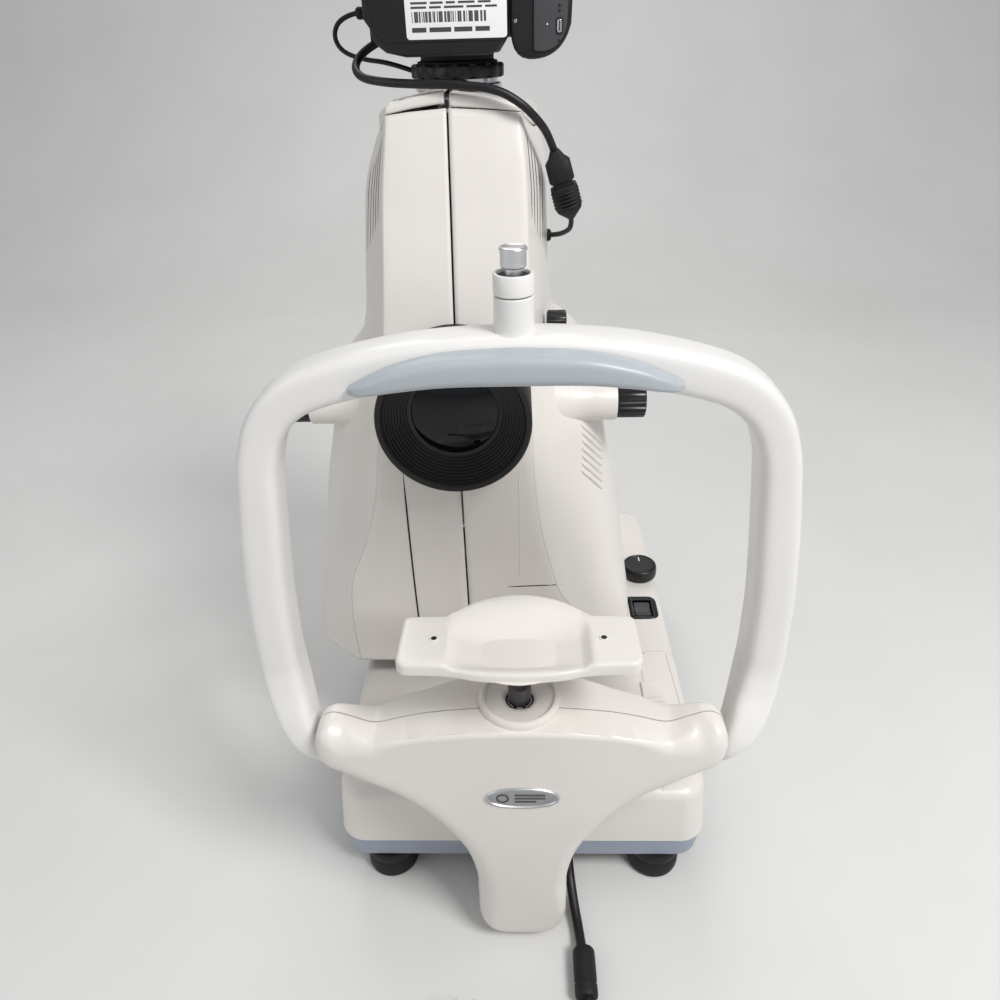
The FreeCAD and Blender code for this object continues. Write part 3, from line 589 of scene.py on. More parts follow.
def relief(name, plane, outline, height, back, material, insets=(0.4, 1.2, 2.5, 4.2, 6.4, 9), pitch=5.0,
           grooves=(), groove=(0.45, 0.9), holes=(), angle=40):
    """A face of varying height over an outline, with walls down to back. height(a, b, gap) is the level
    at a point that lies gap inside the outline. Each groove is a line of points cut into the face;
    groove holds its half width and depth. Each hole is (outline, depth of its wall)."""
    order = PLANES[plane]
    ring = [tuple(point) for point in outline]
    spots, edges = list(ring), [(i, (i + 1) % len(ring)) for i in range(len(ring))]
    sinks = [0.0] * len(spots)
    pits = [([tuple(point) for point in dense(list(line), pitch)], depth) for line, depth in holes]
    hole_of = {}
    for number, (line, _) in enumerate(pits):
        first = len(spots)
        for index in range(len(line)):
            hole_of[first + index] = number
            edges.append((first + index, first + (index + 1) % len(line)))
        spots += line
        sinks += [0.0] * len(line)

    lanes = [[tuple(point) for point in line] for line in grooves]
    for line in lanes:
        for run in groove_lanes(line, ring, *groove):
            edges += [(len(spots) + index, len(spots) + index + 1) for index in range(len(run) - 1)]
            spots += [spot for spot, _ in run]
            sinks += [sink for _, sink in run]

    loose = inner_points(ring, insets, pitch)
    for line, _ in pits:
        rows = np.array(loose).reshape(-1, 2)
        loose = [tuple(point) for point in rows[~inside(rows, line) & (distance_to(rows, line) > 0.3)]]
    for line in lanes:
        rows = np.array(loose).reshape(-1, 2)
        loose = [tuple(point) for point in rows[distance_to(rows, line + line[::-1]) > groove[0] * 2.2]]
    spots += loose
    sinks += [0.0] * len(loose)

    made = geometry.delaunay_2d_cdt([Vector(spot) for spot in spots], edges, [], 1, 1e-4)
    flat, faces, sources = made[0], [tuple(face) for face in made[2]], made[3]
    gaps = distance_to([(point.x, point.y) for point in flat], ring)
    hole_points = {index: hole_of[origin] for index, source in enumerate(sources) for origin in source
                   if origin in hole_of}
    if pits:
        centres = [tuple(sum((flat[i] for i in face), Vector((0, 0))) / len(face)) for face in faces]
        gone = np.zeros(len(faces), bool)
        for line, _ in pits:
            gone |= inside(centres, line)
        faces = [face for face, drop in zip(faces, gone) if not drop]

    def lowered(index, sink):
        """A point of the face, sunk below its level."""
        spot = flat[index]
        level = height(spot.x, spot.y, gaps[index])
        return order(spot.x, spot.y, level + (sink if level < back else -sink))

    points = [lowered(index, max([sinks[i] for i in source if i < len(sinks)], default=0.0))
              for index, source in enumerate(sources)]
    tally = {}
    for face in faces:
        for one, two in zip(face, face[1:] + face[:1]):
            key = (min(one, two), max(one, two))
            tally[key] = tally.get(key, 0) + 1
    rim = [key for key, uses in tally.items() if uses == 1]

    floor = {}
    for one, two in [key for key in rim if key[0] in hole_points and key[1] in hole_points]:
        rim.remove((one, two))
        for index in (one, two):
            if index not in floor:
                floor[index] = len(points)
                points.append(lowered(index, pits[hole_points[one]][1]))
        faces.append((one, two, floor[two], floor[one]))
    wall = {}
    for one, two in rim:
        for index in (one, two):
            if index not in wall:
                wall[index] = len(points)
                points.append(order(flat[index].x, flat[index].y, back))
        faces.append((one, two, wall[two], wall[one]))
    faces.append(tuple(wall[index] for index in chained(rim)))
    return build(name, points, faces, material, angle)


def quarter(gap, reach, drop):
    """How far a rounded rim falls, gap inside it: drop at the rim and nothing past reach."""
    share = max(0.0, min(1.0, gap / reach))
    return drop * (1 - math.sqrt(1 - (1 - share) ** 2))


def ease(value, start, end):
    """0 before start, 1 after end, with a soft change between."""
    share = max(0.0, min(1.0, (value - start) / (end - start)))
    return share * share * (3 - 2 * share)


# ---- camera, floor and light ----

def make_camera():
    """The photographer stands over the patient's side and looks down at the chinrest."""
    yaw, pitch, roll = (math.radians(angle) for angle in (2.0, 32.2, -1.7))
    tilt = (Matrix.Rotation(yaw, 3, "Z") @ Matrix.Rotation(math.pi / 2 - pitch, 3, "X")
            @ Matrix.Rotation(roll, 3, "Z"))
    data = bpy.data.cameras.new("view")
    data.lens = 27
    data.sensor_width = 36
    data.clip_start = 0.02
    data.clip_end = 30
    item = bpy.data.objects.new("view", data)
    item.matrix_world = Matrix.Translation((0.008, -0.570, 0.597)) @ tilt.to_4x4()
    bpy.context.scene.collection.objects.link(item)
    bpy.context.scene.camera = item


def make_room():
    """A pale floor that sweeps up behind, a soft sky, and three soft lamps."""
    nodes = Nodes("pale_floor")
    tone = nodes.ramp(nodes.noise(3, 3), ((0.3, (0.66, 0.655, 0.635)), (0.7, (0.70, 0.695, 0.675))))
    material = nodes.finish(tone, nodes.spread(nodes.noise(30, 2), 0.45, 0.6),
                            nodes.bump(nodes.noise(300), 0.03))
    rings = []
    sweep = [(1300 + b, a + 900) for a, b in arc((0, 0), 900, 180, 90, 10)]
    for y, z in [(-4000, 0), (1300, 0)] + sweep + [(2200, 4000)]:
        rings.append([(-6000, y, z - 0.4), (6000, y, z - 0.4)])
    floor = loft("floor", rings, material, (False, False), False, 60)
    world = bpy.data.worlds.new("studio")
    world.use_nodes = True
    background = world.node_tree.nodes["Background"]
    background.inputs["Color"].default_value = (0.93, 0.95, 1.0, 1)
    background.inputs["Strength"].default_value = 0.46
    bpy.context.scene.world = world
    bpy.context.scene.view_settings.view_transform = "Standard"
    target = Vector((0, -0.05, 0.3))
    for name, spot, width, power in (("key", (0.95, -1.0, 1.75), 0.6, 30),
                                     ("fill", (-1.6, -1.0, 1.1), 1.4, 5),
                                     ("rim", (-0.3, 1.5, 1.9), 1.2, 13)):
        data = bpy.data.lights.new(name, "AREA")
        data.size = width
        data.energy = power
        item = bpy.data.objects.new(name, data)
        item.location = spot
        item.visible_camera = False
        item.rotation_mode = "QUATERNION"
        item.rotation_quaternion = (target - Vector(spot)).to_track_quat("-Z", "Y")
        bpy.context.scene.collection.objects.link(item)


make_camera()
make_room()


# ---- leads ----

def cord_line(name, plane, route, radius, body, nodes):
    """A lead as a round NURBS curve; the route is in the plane's own millimetres."""
    data = bpy.data.curves.new(name, "CURVE")
    data.dimensions = "3D"
    spline = data.splines.new("NURBS")
    spline.points.add(len(route) - 1)
    for point, (x, y, z) in zip(spline.points, route):
        point.co = ((plane + x) * MM, y * MM, z * MM, 1)
    spline.order_u = 3
    spline.use_endpoint_u = True
    data.resolution_u = 8
    data.bevel_depth = radius * MM
    data.bevel_resolution = 5
    data.use_fill_caps = True
    data.materials.append(CABLE)
    item = bpy.data.objects.new(name, data)
    bpy.context.scene.collection.objects.link(item)
    return place(item, body, "cable", *nodes)


LEAD_ROUTE = [
    (37, -197, 23), (37.5, -216, 21.5), (40, -235, 10), (43, -254, 4.4), (44.5, -275, 8.6),
    (46, -302, 8.6), (48.5, -326, 5), (50, -352, 4.4),
]
CAMERA_ROUTE = [
    (-41, -14, 592.5), (-51, -16, 589), (-60, -25, 580), (-55, -41, 573), (-38, -51, 570.5),
    (-18, -57, 569.5), (5, -61, 569), (30, -63, 566.5), (45, -63, 558.5), (55, -59, 549), (62, -50, 539.5),
    (66, -42, 529),
]
TAIL_ROUTE = [(78, -40, 488), (79, -37, 481), (75, -27, 475), (69, -16, 471), (62.6, -9.5, 469.5)]
TRIGGER_ROUTE = [
    (-60, 0, 607), (-70, 0, 605), (-76, -1, 596), (-72, -2, 586.5), (-58, -3, 581.5), (-41, -4, 579.5),
    (-26, -5, 574.5),
]
LEAD_R = 3.75
COIL = Vector((5, -385, 0))


def coil_turns():
    """Five turns, two side by side on each layer, and a half turn on top that leads to the plug.
    Each change of lane or layer comes a little earlier in its turn than the one before."""
    inner, outer, layers = 41.6, 49.4, (3.85, 11.5, 19.15)
    shift, step = 45, 22.5
    lanes = [(outer, layers[0]), (inner, layers[0]), (inner, layers[1]), (outer, layers[1]),
             (outer, layers[2]), (inner, layers[2])]
    points = []
    for index in range(int(5.5 * 360 / step) + 1):
        turned = index * step
        radius, z = lanes[0]
        for change in range(1, 6):
            share = ease(turned, 360 * change - shift * change, 360 * change - shift * (change - 1))
            radius += (lanes[change][0] - lanes[change - 1][0]) * share
            z += (lanes[change][1] - lanes[change - 1][1]) * share
        top = ease(turned, 1800, 1890)
        radius += (45 - radius) * top
        z += (26.9 - z) * top + 3.6 * ease(turned, 1890, 1980)
        turn = -math.radians(turned)
        points.append((COIL.x + radius * math.cos(turn), COIL.y + radius * math.sin(turn), z))
    return points


def make_connector(x, z):
    """The plug in the inlet under the base, with its ribbed boot."""
    body = slab("inlet_connector", "XZ", rounded_box_outline(x - 12, x + 12, z - 9, z + 9, (5, 5, 2, 2), 4),
                -190, -170, RUBBER, 1.2)
    profile = [(8, 0), (8, -1)]
    for rib in range(5):
        start = -1.4 * rib - 1
        size = 7.8 - 0.62 * rib
        profile += [(size, start), (size, start - 0.8), (size - 0.9, start - 0.9), (size - 0.9, start - 1.3)]
    boot = lathe("connector_boot", "Y", (x, -190, z), profile + [(4.4, -7)], RUBBER, 40)
    return merged("inlet_connector", [body, boot])


def make_mains_plug(left, y, low):
    """The plug at the lead's far end, lying on top of the coil."""
    outline = [(-13, 2), (-11, 14), (-7.5, 32), (7.5, 32), (11, 14), (13, 2)]
    grip = slab("plug_grip", "XY", [(left + a * 0.98, y + 50 - b) for a, b in outline], low + 0.4, low + 16.6,
                RUBBER, 2.6, 4)
    profile = [(4.2, 0)]
    for rib in range(6):
        start = 1.2 + rib * 2.7
        size = 4.7 + rib * 0.4
        profile += [(size, start), (size, start + 1.5), (size - 0.8, start + 1.7), (size - 0.8, start + 2.5)]
    neck = lathe("plug_neck", "Y", (left, y, low + 8), profile + [(6.6, 18), (6.6, 20)], RUBBER, 40)
    blades = [chunk("plug_blade", (left + dx - 0.9, left + dx + 0.9), (y + 48, y + 67), (low + 5, low + 12),
                    BRUSHED, 0.5) for dx in (-6, 6)]
    return merged("mains_plug", [grip, neck] + blades)


def make_mains_lead():
    """The mains lead with its plugs, from the base's inlet to the coil on the table."""
    route = LEAD_ROUTE + [(53.5, -368, 4)] + coil_turns()
    line = cord_line("mains_cable", MID, route, LEAD_R, "base", ("mains_lead", "lead_coil"))
    connector = make_connector(MID + 37, 23)
    sleeve = lathe("lead_sleeve", "Y", (MID + 45.3, -306, 8.6), [
        (4.0, 0), (7.0, 0.2), (8.0, 1.2), (8.3, 2.5), (8.3, 9), (7.7, 9.6), (7.7, 11.4), (8.3, 12), (8.3, 30),
        (8.0, 33), (6.8, 34.6), (4.0, 35)], RUBBER, 56)
    plug = make_mains_plug(MID + COIL.x - 45, COIL.y, LEAD_R * 6)
    for piece in (connector, sleeve, plug):
        place(piece, "base", "cable")
    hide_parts("lead_fittings")


def make_coupler(top, bottom):
    """The two halves of the in-line coupler, squarish and ribbed, hanging at a slant."""
    profile = [(0, 2.6), (1.5, 3.6), (5, 5.4), (7, 7.4), (8, 8.2), (19, 8.4), (20, 7.8), (20.6, 6.6),
               (22.4, 6.6), (23, 8.6), (25, 9), (37, 8.8), (39, 8), (42, 5), (44, 3), (45, 2)]
    along = (bottom - top).normalized()
    across = along.cross(AWAY).normalized()
    up = along.cross(across)
    scale = (bottom - top).length / profile[-1][0]
    rings = [soft_box(top + along * (distance * scale), across, up, size, size * 0.86, 0.6)
             for distance, size in profile]
    body = loft("lead_coupler", rings, RUBBER, angle=40)
    ribs = []
    for index in range(5):
        spot = top + along * ((26.6 + index * 2.3) * scale)
        rib = lathe("rib", "Z", (0, 0, 0), [(6, -0.6), (9.2, -0.5), (9.5, 0), (9.2, 0.5), (6, 0.6)],
                    RUBBER, 40)
        rib.data.transform(Vector((0, 0, 1)).rotation_difference(along).to_matrix().to_4x4())
        for vertex in rib.data.vertices:
            vertex.co += spot * MM
        ribs.append(rib)
    return merged("lead_coupler", [body] + ribs)


def make_head_leads():
    """The camera lead, its coupler and tail, and the thin release lead."""
    main = cord_line("camera_cable", HEAD, CAMERA_ROUTE, 2.5, "head", ("camera_lead",))
    joint = make_coupler(Vector((HEAD + 66, -42, 530)), Vector((HEAD + 78.5, -40, 487)))
    place(joint, "head", "cable", "lead_joint")
    grommet = lathe("tail_grommet", "X", (HEAD, -9.5, 469.5), [
        (1.6, 60), (4, 60), (4.2, 64.6), (3.6, 65.6), (2.4, 66), (1.8, 65.2)], RUBBER, 32)
    place(grommet, "head", "rubber")
    tail = cord_line("coupler_tail", HEAD, TAIL_ROUTE, 1.75, "head", ("joint_tail",))
    trigger = cord_line("trigger_cable", HEAD, TRIGGER_ROUTE, 1.5, "head", ("trigger_lead",))
    plugs = []
    for y, z, start, end in ((0, 607, -60, -48), (-14, 592.5, -41, -33)):
        plugs.append(lathe("jack", "X", (HEAD, y, z), [
            (2.0, start), (2.8, start + 0.4), (3.6, start + 1.6), (3.6, start + 4), (3.0, start + 4.4),
            (3.0, start + 5.4), (3.6, start + 5.8), (3.6, end)], RUBBER, 32))
    jacks = merged("camera_jacks", plugs)
    place(jacks, "head", "cable", "camera_plugs")


# ---- base ----

def bead(name, line, normals, width, height, material, steps=6, sink=0.4):
    """A rounded bead along a line that lies on a surface with the given normals."""
    line = [Vector(point) for point in line]
    rings = []
    for index, point in enumerate(line):
        ahead = line[min(index + 1, len(line) - 1)] - line[max(index - 1, 0)]
        normal = Vector(normals[index] if isinstance(normals, list) else normals).normalized()
        across = ahead.cross(normal).normalized()
        taper = min(1.0, 0.25 + 6.4 * min(index, len(line) - 1 - index) / (len(line) - 1))
        ring = []
        for step in range(steps + 1):
            turn = math.pi * step / steps
            ring.append(point + across * (width / 2 * math.cos(turn) * taper)
                        + normal * (height * math.sin(turn) * taper))
        ring.append(point - across * (width / 2 * taper) - normal * sink)
        ring.append(point + across * (width / 2 * taper) - normal * sink)
        rings.append(ring)
    return loft(name, rings, material, angle=50)


BASE_LOW, BASE_HIGH = span("base_cover")
STRIP = MID + 108
WINDOW = (MID - 78, MID + 78, -54, 60)


def make_base_cover():
    """The base's cover, with its separate right strip, the stage's window and the rocker's hole."""
    top = BASE_HIGH.z
    outline = dense(rounded_box_outline(BASE_LOW.x, BASE_HIGH.x, BASE_LOW.y, BASE_HIGH.y, 22, 12), 9)
    seams = [
        [(STRIP, y) for y in range(-205, 178, 6)],
        [(STRIP + 0.6 + step * 3, -60) for step in range(12)],
        [(MID + 137 + step * 0.16, -60 - step * 4) for step in range(30)],
    ]
    rocker_hole = rounded_box_outline(STRIP - 0.2, MID + 135, -16, 18, (1, 8, 8, 1), 5)
    pinhole = [(MID + 114 + a, -62.5 + b) for a, b in arc((0, 0), 0.9, 0, 330, 11)]
    shell = relief("base_shell", "XY", outline, lambda x, y, gap: top - quarter(gap, 11, 8), BASE_LOW.z,
                   IVORY, insets=(0.5, 1.6, 3.2, 5.4, 8, 11), pitch=14, grooves=seams, groove=(0.4, 0.8),
                   holes=[(rounded_box_outline(*WINDOW, 5, 3), 16), (rocker_hole, 7), (pinhole, 2)])
    for vertex in shell.data.vertices:
        x, _, z = vertex.co / MM
        draft = 5.5 * ease(z, BASE_LOW.z, top)
        vertex.co.x = (x - math.copysign(draft * ease(abs(x - MID), 96, 146), x - MID)) * MM
    place(shell, "base", "ivory", "base_cover")


def make_rocker():
    """The gasket round the stage's window, the chinrest's rocker switch in its bezel, and the small flap."""
    top = BASE_HIGH.z
    lip = slab("window_gasket", "XY", rounded_box_outline(*WINDOW, 5, 3), top - 15.5, top - 14.5,
               BLACK_SOFT, 0.3)
    frame_line = rounded_box_outline(STRIP + 0.2, MID + 134.6, -15.6, 17.6, (1, 7.8, 7.8, 1), 6)
    bezel = relief("rocker_bezel", "XY", dense(frame_line, 4),
                   lambda x, y, gap: top + 1.2 - quarter(gap, 1.6, 1.4), top - 6, BLACK,
                   insets=(0.4, 0.9, 1.5), pitch=4,
                   holes=[(rounded_box_outline(MID + 110.9, MID + 129.1, -13.2, 11.2, 1.5, 3), 6.4)])

    def hollowed(x, y, gap):
        return top + 1.4 - quarter(gap, 1.2, 1.0) - 2.6 * (1 - ((y + 1) / 10.2) ** 2)

    key_line = rounded_box_outline(MID + 112, MID + 128, -10.4, 8.4, 1.4, 4)
    rocker = relief("rocker_key", "XY", dense(key_line, 2.5), hollowed, top - 2.4, DARK_GREY,
                    insets=(0.4, 0.8, 1.3), pitch=2)
    place(rocker, "rocker", "black_plastic", "chinrest_rocker")
    for piece in (lip, bezel):
        place(piece, "base", "black_plastic")
    low, high = span("strip_flap")
    flap = relief("card_flap", "XY", dense(rounded_box_outline(low.x, high.x, low.y, high.y, 1.6, 4), 3),
                  lambda x, y, gap: high.z - quarter(gap, 1.2, 1.1) - 0.35 * ease(gap, 2.2, 2.8), low.z,
                  IVORY, insets=(0.4, 0.8, 1.3, 2.2, 2.8), pitch=3)
    place(flap, "flap", "ivory", "strip_flap")


def make_lock_knob():
    """The stage lock: a round black knob with fine ribs and a white line."""
    centre = middle("stage_lock_knob")
    x, y, rim = centre.x, centre.y, 110.5
    profile = [(4, 92), (4, rim), (14.5, rim), (15.8, rim + 0.4), (17.2, rim + 1.4), (17.2, rim + 10),
               (16.6, rim + 12), (15.2, rim + 13.2), (14.2, rim + 13.4), (13.4, rim + 12.7),
               (0.01, rim + 12.4)]
    knob = lathe("lock_dial", "Z", (x, y, 0), profile, BLACK, 96)
    ribs = [rod("rib", "Z", (x + 16.9 * math.cos(turn), y + 16.9 * math.sin(turn), rim + 1.8), 0.5, 0, 8,
                BLACK, 0.3, 8)
            for turn in turns(36)]
    mark = slab("mark", "XY", [(x - 0.6, y + 5), (x + 0.6, y + 5), (x + 0.6, y + 11), (x - 0.6, y + 11)],
                rim + 12, rim + 12.9, WHITE_INK, 0.1)
    place(merged("lock_dial", [knob, mark] + ribs), "lock_knob", "black_plastic", "stage_lock_knob")


def make_skirt():
    """The blue-grey band that closes the base below its cover."""
    top = span("base_skirt")[1].z
    rings = []
    for inset, z in ((8, 28), (5.2, 28.4), (3.8, 30), (1.2, top - 2), (1.0, top + 1.5)):
        around = rounded_box_outline(BASE_LOW.x + inset, BASE_HIGH.x - inset, BASE_LOW.y + inset,
                                     BASE_HIGH.y - inset, 22 - inset, 12)
        rings.append([(x, y, z) for x, y in dense(around, 9)])
    band = walled(loft("skirt_band", rings, BLUE_GREY, (False, False)), 2.5)
    place(band, "base", "blue_grey", "base_skirt")


def make_feet():
    """The four rubber feet."""
    shoes = []
    for side in (-1, 1):
        for y in (-190, 150):
            shoe = lathe("foot", "Z", (MID + side * 109, y, 0), [
                (0.01, 0.6), (15, 0.6), (17, 0), (19, 0.3), (20.4, 1.6), (21, 4), (21, 17), (20.4, 18),
                (20.4, 19), (21, 20), (21, 26.4), (20.2, 27.8), (8, 27.9)], RUBBER, 64)
            screw = lathe("foot_screw", "Z", (MID + side * 109, y, 0), [
                (0.01, 1.8), (2.2, 1.8), (2.4, 3.4), (5.4, 3.4), (5.6, 0.8)], STEEL, 32)
            shoes += [shoe, screw]
    place(merged("rubber_feet", shoes), "base", "rubber", "feet")


# ---- head covers ----

# Plan sections of the head by height, half width by half width, in the head's own millimetres:
# height, front crease x and y, outer crease x and y, wall x and y, widest x.
RIGHT_SECTIONS = [
    (130, 99, -94, 136, -66, 137.6, -40, 138), (150, 99, -97, 135, -68, 137.4, -40, 138),
    (167, 97, -101, 133.5, -68, 136.8, -40, 137.4), (183, 92, -105, 130, -70, 134.5, -40, 136),
    (203, 84, -110, 122, -70, 131, -40, 134), (222, 72, -112, 116, -70, 127.5, -40, 132),
    (251, 64, -113, 108, -70, 122.5, -40, 129), (281, 57, -113, 101, -70, 117, -40, 122),
    (314, 53, -112, 95, -70, 110, -40, 115), (347, 51, -110, 90, -71, 103, -42, 108),
    (365, 51, -108, 79, -72, 98, -42, 104), (380, 50.5, -106, 68, -73, 86, -40, 93),
    (394, 50, -103, 60, -71, 69, -35, 76), (410, 50, -98, 57.5, -66, 62.5, -27, 67),
    (448, 49, -88, 56.5, -57, 62, -22, 66), (507, 48, -70, 56, -45, 62, -20, 64),
    (530, 46.5, -64, 54.5, -41, 60, -19, 61), (553, 44.5, -56, 52, -36, 56, -18, 57),
]
LEFT_SECTIONS = [
    (130, 100, -94, 136, -66, 137.6, -40, 138), (150, 100, -97, 135, -68, 137.4, -40, 138),
    (167, 99, -101, 133.5, -68, 136.8, -40, 137.4), (183, 98, -105, 130, -70, 134.5, -40, 136),
    (203, 96, -110, 122, -70, 131, -40, 134), (222, 94, -112, 117, -72, 127.5, -40, 132),
    (238, 90.5, -113, 113, -72, 125, -40, 130), (262, 80, -113, 106, -71, 121, -40, 127),
    (290, 69.5, -113, 99.5, -70, 116.5, -40, 121), (316, 63, -112, 95, -70, 110, -40, 115),
    (340, 59, -111, 91, -71, 104, -42, 110), (364, 55, -109, 82, -72, 99, -42, 105),
    (380, 53.5, -106, 74, -73, 91, -40, 97), (394, 52, -103, 69, -71, 82, -36, 85),
    (411, 49.5, -98, 64, -66, 74, -29, 76), (428, 48, -93, 61, -61, 71, -25, 72.5),
    (464, 45.5, -84, 58, -53, 68, -21, 69.5), (511, 43, -69, 53, -44, 62, -19, 63.5),
    (542, 39.5, -60, 48, -39, 53.5, -17, 55), (553, 38.5, -56, 45, -36, 49.5, -16, 51),
]
FRONT_AND_BACK = [
    (130, -95, 130), (150, -98, 130), (183, -109, 130), (203, -113.5, 130), (300, -116, 129),
    (360, -111.5, 120),
    (394, -105.5, 101), (420, -98, 91), (450, -90, 87), (500, -74, 80), (535, -64, 74), (553, -58, 70),
]
TOP_SEAM = 553
SHOULDER = 394
HEAD_FLOOR = span("side_cover_left")[0].z
SEAM = 0.5
# The corner, counted from the centre of the front, where a front cover meets its side cover.
CREASE = 2


def key_points(side, z):
    """The corners of half a plan section, from the centre of the front round to the centre of the back."""
    rows = RIGHT_SECTIONS if side > 0 else LEFT_SECTIONS
    cx, cy, ox, oy, wx, wy, widest = table(rows, z)
    front, back = table(FRONT_AND_BACK, z)
    hollow = (9 if side < 0 else 6) * ease(z, 190, 260) * (1 - ease(z, 352, 394))
    valley = (cx + (ox - cx) * 0.32, cy + (oy - cy) * 0.32 + hollow)
    panel = (cx * 0.62, front + (cy - front) * 0.34)
    return [(0, front), panel, (cx, cy), valley, (ox, oy), (wx, wy), (widest, 12), (widest * 0.93, back - 16),
            (widest * 0.55, back), (0, back)]


RUNS = (12, 8, 7, 8, 8, 8, 8, 8, 6)
ROUNDING_PASSES = 3
SECTION_CACHE = {}


def dense_section(side, z):
    """The section as evenly sampled runs whose corners are worn round."""
    key = (side, round(z, 3))
    if key not in SECTION_CACHE:
        keys = key_points(side, z)
        line = []
        for (x1, y1), (x2, y2), count in zip(keys, keys[1:], RUNS):
            line += [(x1 + (x2 - x1) * i / count, y1 + (y2 - y1) * i / count) for i in range(count)]
        line.append(keys[-1])
        line = np.array(line)
        for _ in range(ROUNDING_PASSES):
            padded = np.vstack([line[1] * (-1, 1), line, line[-2] * (-1, 1)])
            line = (padded[:-2] + padded[1:-1] * 2 + padded[2:]) / 4
        SECTION_CACHE[key] = line
    return SECTION_CACHE[key]


def on_head(side, u, z, sink=0.0):
    """A point of the head's skin: u counts the section's corners from the centre of the front."""
    line = dense_section(side, z)
    run = min(int(u), len(RUNS) - 1)
    at = sum(RUNS[:run]) + (u - run) * RUNS[run]
    low = min(int(at), len(line) - 2)
    here = line[low] + (line[low + 1] - line[low]) * (at - low)
    along = line[low + 1] - line[low]
    along = along / (np.hypot(*along) + 1e-9)
    inward = np.array([-along[1], along[0]])
    x, y = here + inward * sink
    return Vector((HEAD + side * x, y, z))


def seam_height(u):
    """The tower's covers end lower at its corners and sides than at its front."""
    return TOP_SEAM + 3.4 * (1 - min(u, 2) / 2) - 11 * ease(u, 2.05, 4.6)


def tower_z(u, z):
    """Heights above this start are squeezed, so that the covers end at their own seam."""
    start = 505
    return z if z <= start else start + (z - start) * (seam_height(u) - start) / (TOP_SEAM - start)


VENT_RUN = (3.1, 3.45, 3.8, 4.15, 4.5)


def head_columns():
    """Where the skin's points lie round the section, closer together beside the crease."""
    steps = [0.0]
    for run, count in enumerate((8, 6, 6, 6, 3, 5, 6, 6, 5)):
        steps += [run + (i + 1) / count for i in range(count)]
    steps += [1.95, 2.015, 2.05, 2.12]
    return sorted(set(round(step, 4) for step in steps if step <= len(RUNS)))


def head_rows():
    """Heights of the skin's points, closer together at the shoulder's joint and the top."""
    rows = [HEAD_FLOOR, HEAD_FLOOR + 2]
    rows += list(range(int(HEAD_FLOOR) + 8, SHOULDER - 3, 7))
    rows += [SHOULDER - 2, SHOULDER - SEAM, SHOULDER + SEAM, SHOULDER + 3]
    rows += list(range(SHOULDER + 9, TOP_SEAM - 25, 7))
    rows += [524, 528, 530, 531, 532, 533, 537, 543, 549, TOP_SEAM]
    return sorted(set(rows))


def skin(name, side, columns, rows, keep, material, wall=2.4):
    """The faces of the head's skin that keep(u, z) chooses, given a wall inwards."""
    points, faces = [], []
    for z in rows:
        for u in columns:
            point = on_head(side, u, z)
            if u == 0:
                point.x = HEAD + side * 0.7
            if u == len(RUNS):
                point.x = HEAD + side * 0.4
            point.z = tower_z(u, z)
            points.append(point)
    wide = len(columns)
    for row in range(len(rows) - 1):
        for column in range(wide - 1):
            if keep((columns[column] + columns[column + 1]) / 2, (rows[row] + rows[row + 1]) / 2):
                first = row * wide + column
                quad = (first, first + 1, first + wide + 1, first + wide)
                faces.append(quad if side > 0 else quad[::-1])
    return walled(build(name, points, faces, material, 30, reorient=False), wall)


def walled(item, wall):
    """Give a sheet of faces a moulding's wall on its inner side."""
    solid = item.modifiers.new("wall", "SOLIDIFY")
    solid.thickness = wall * MM
    solid.offset = -1
    return item


BOSS_Y, BOSS_Z = -60, 362


def knob_boss(side):
    """The round boss that carries a focus knob, flaring into the side cover."""
    profile = [(9, 60), (25, 62), (21, 72), (17.4, 80), (15.4, 88), (14.6, 96), (14.5, 111.8), (14.1, 113),
               (9, 113.2), (8.6, 112.6), (5, 112.6)]
    outline = [(radius, side * distance) for radius, distance in profile]
    return lathe("knob_boss", "X", (HEAD, BOSS_Y, BOSS_Z), outline, IVORY, 64)


def outward(side, u, z):
    """The direction straight out of the head's skin."""
    return (on_head(side, u, z, -1) - on_head(side, u, z)).normalized()


def flank_vents(side):
    """Seven slanted ribs on the right flank below the knob."""
    ribs = []
    for index in range(7):
        u1, z1 = 3.92 - index * 0.028, 348 - index * 6.1
        u2, z2 = 4.84 - index * 0.07, 318 - index * 5.7
        spots = [(u1 + (u2 - u1) * step / 12, z1 + (z2 - z1) * step / 12) for step in range(13)]
        line = [on_head(side, u, z) for u, z in spots]
        normals = [outward(side, u, z) for u, z in spots]
        ribs.append(bead("rib", line, normals, 3.4, 1.5, IVORY))
    return ribs


def tower_slot_shades(side):
    """Black marks down the tower's side: painted shade for the dark insides of the slots."""
    slots = []
    for index, centre in enumerate(VENT_RUN):
        low, high = 492 - index * 6, 545 - index * 5
        heights = [low + (high - low) * step / 14 for step in range(15)]
        line = [on_head(side, centre, z, -0.05) for z in heights]
        for point in line:
            point.z = tower_z(centre, point.z)
        normals = [outward(side, centre, z) for z in heights]
        # Painted shade: each slot is a flat black bead on the skin, standing in for the dark inside of a real
        # vent slot.
        slots.append(bead("slot", line, normals, 1.1, 0.12, BLACK_SOFT, 4, 0.2))
    return slots


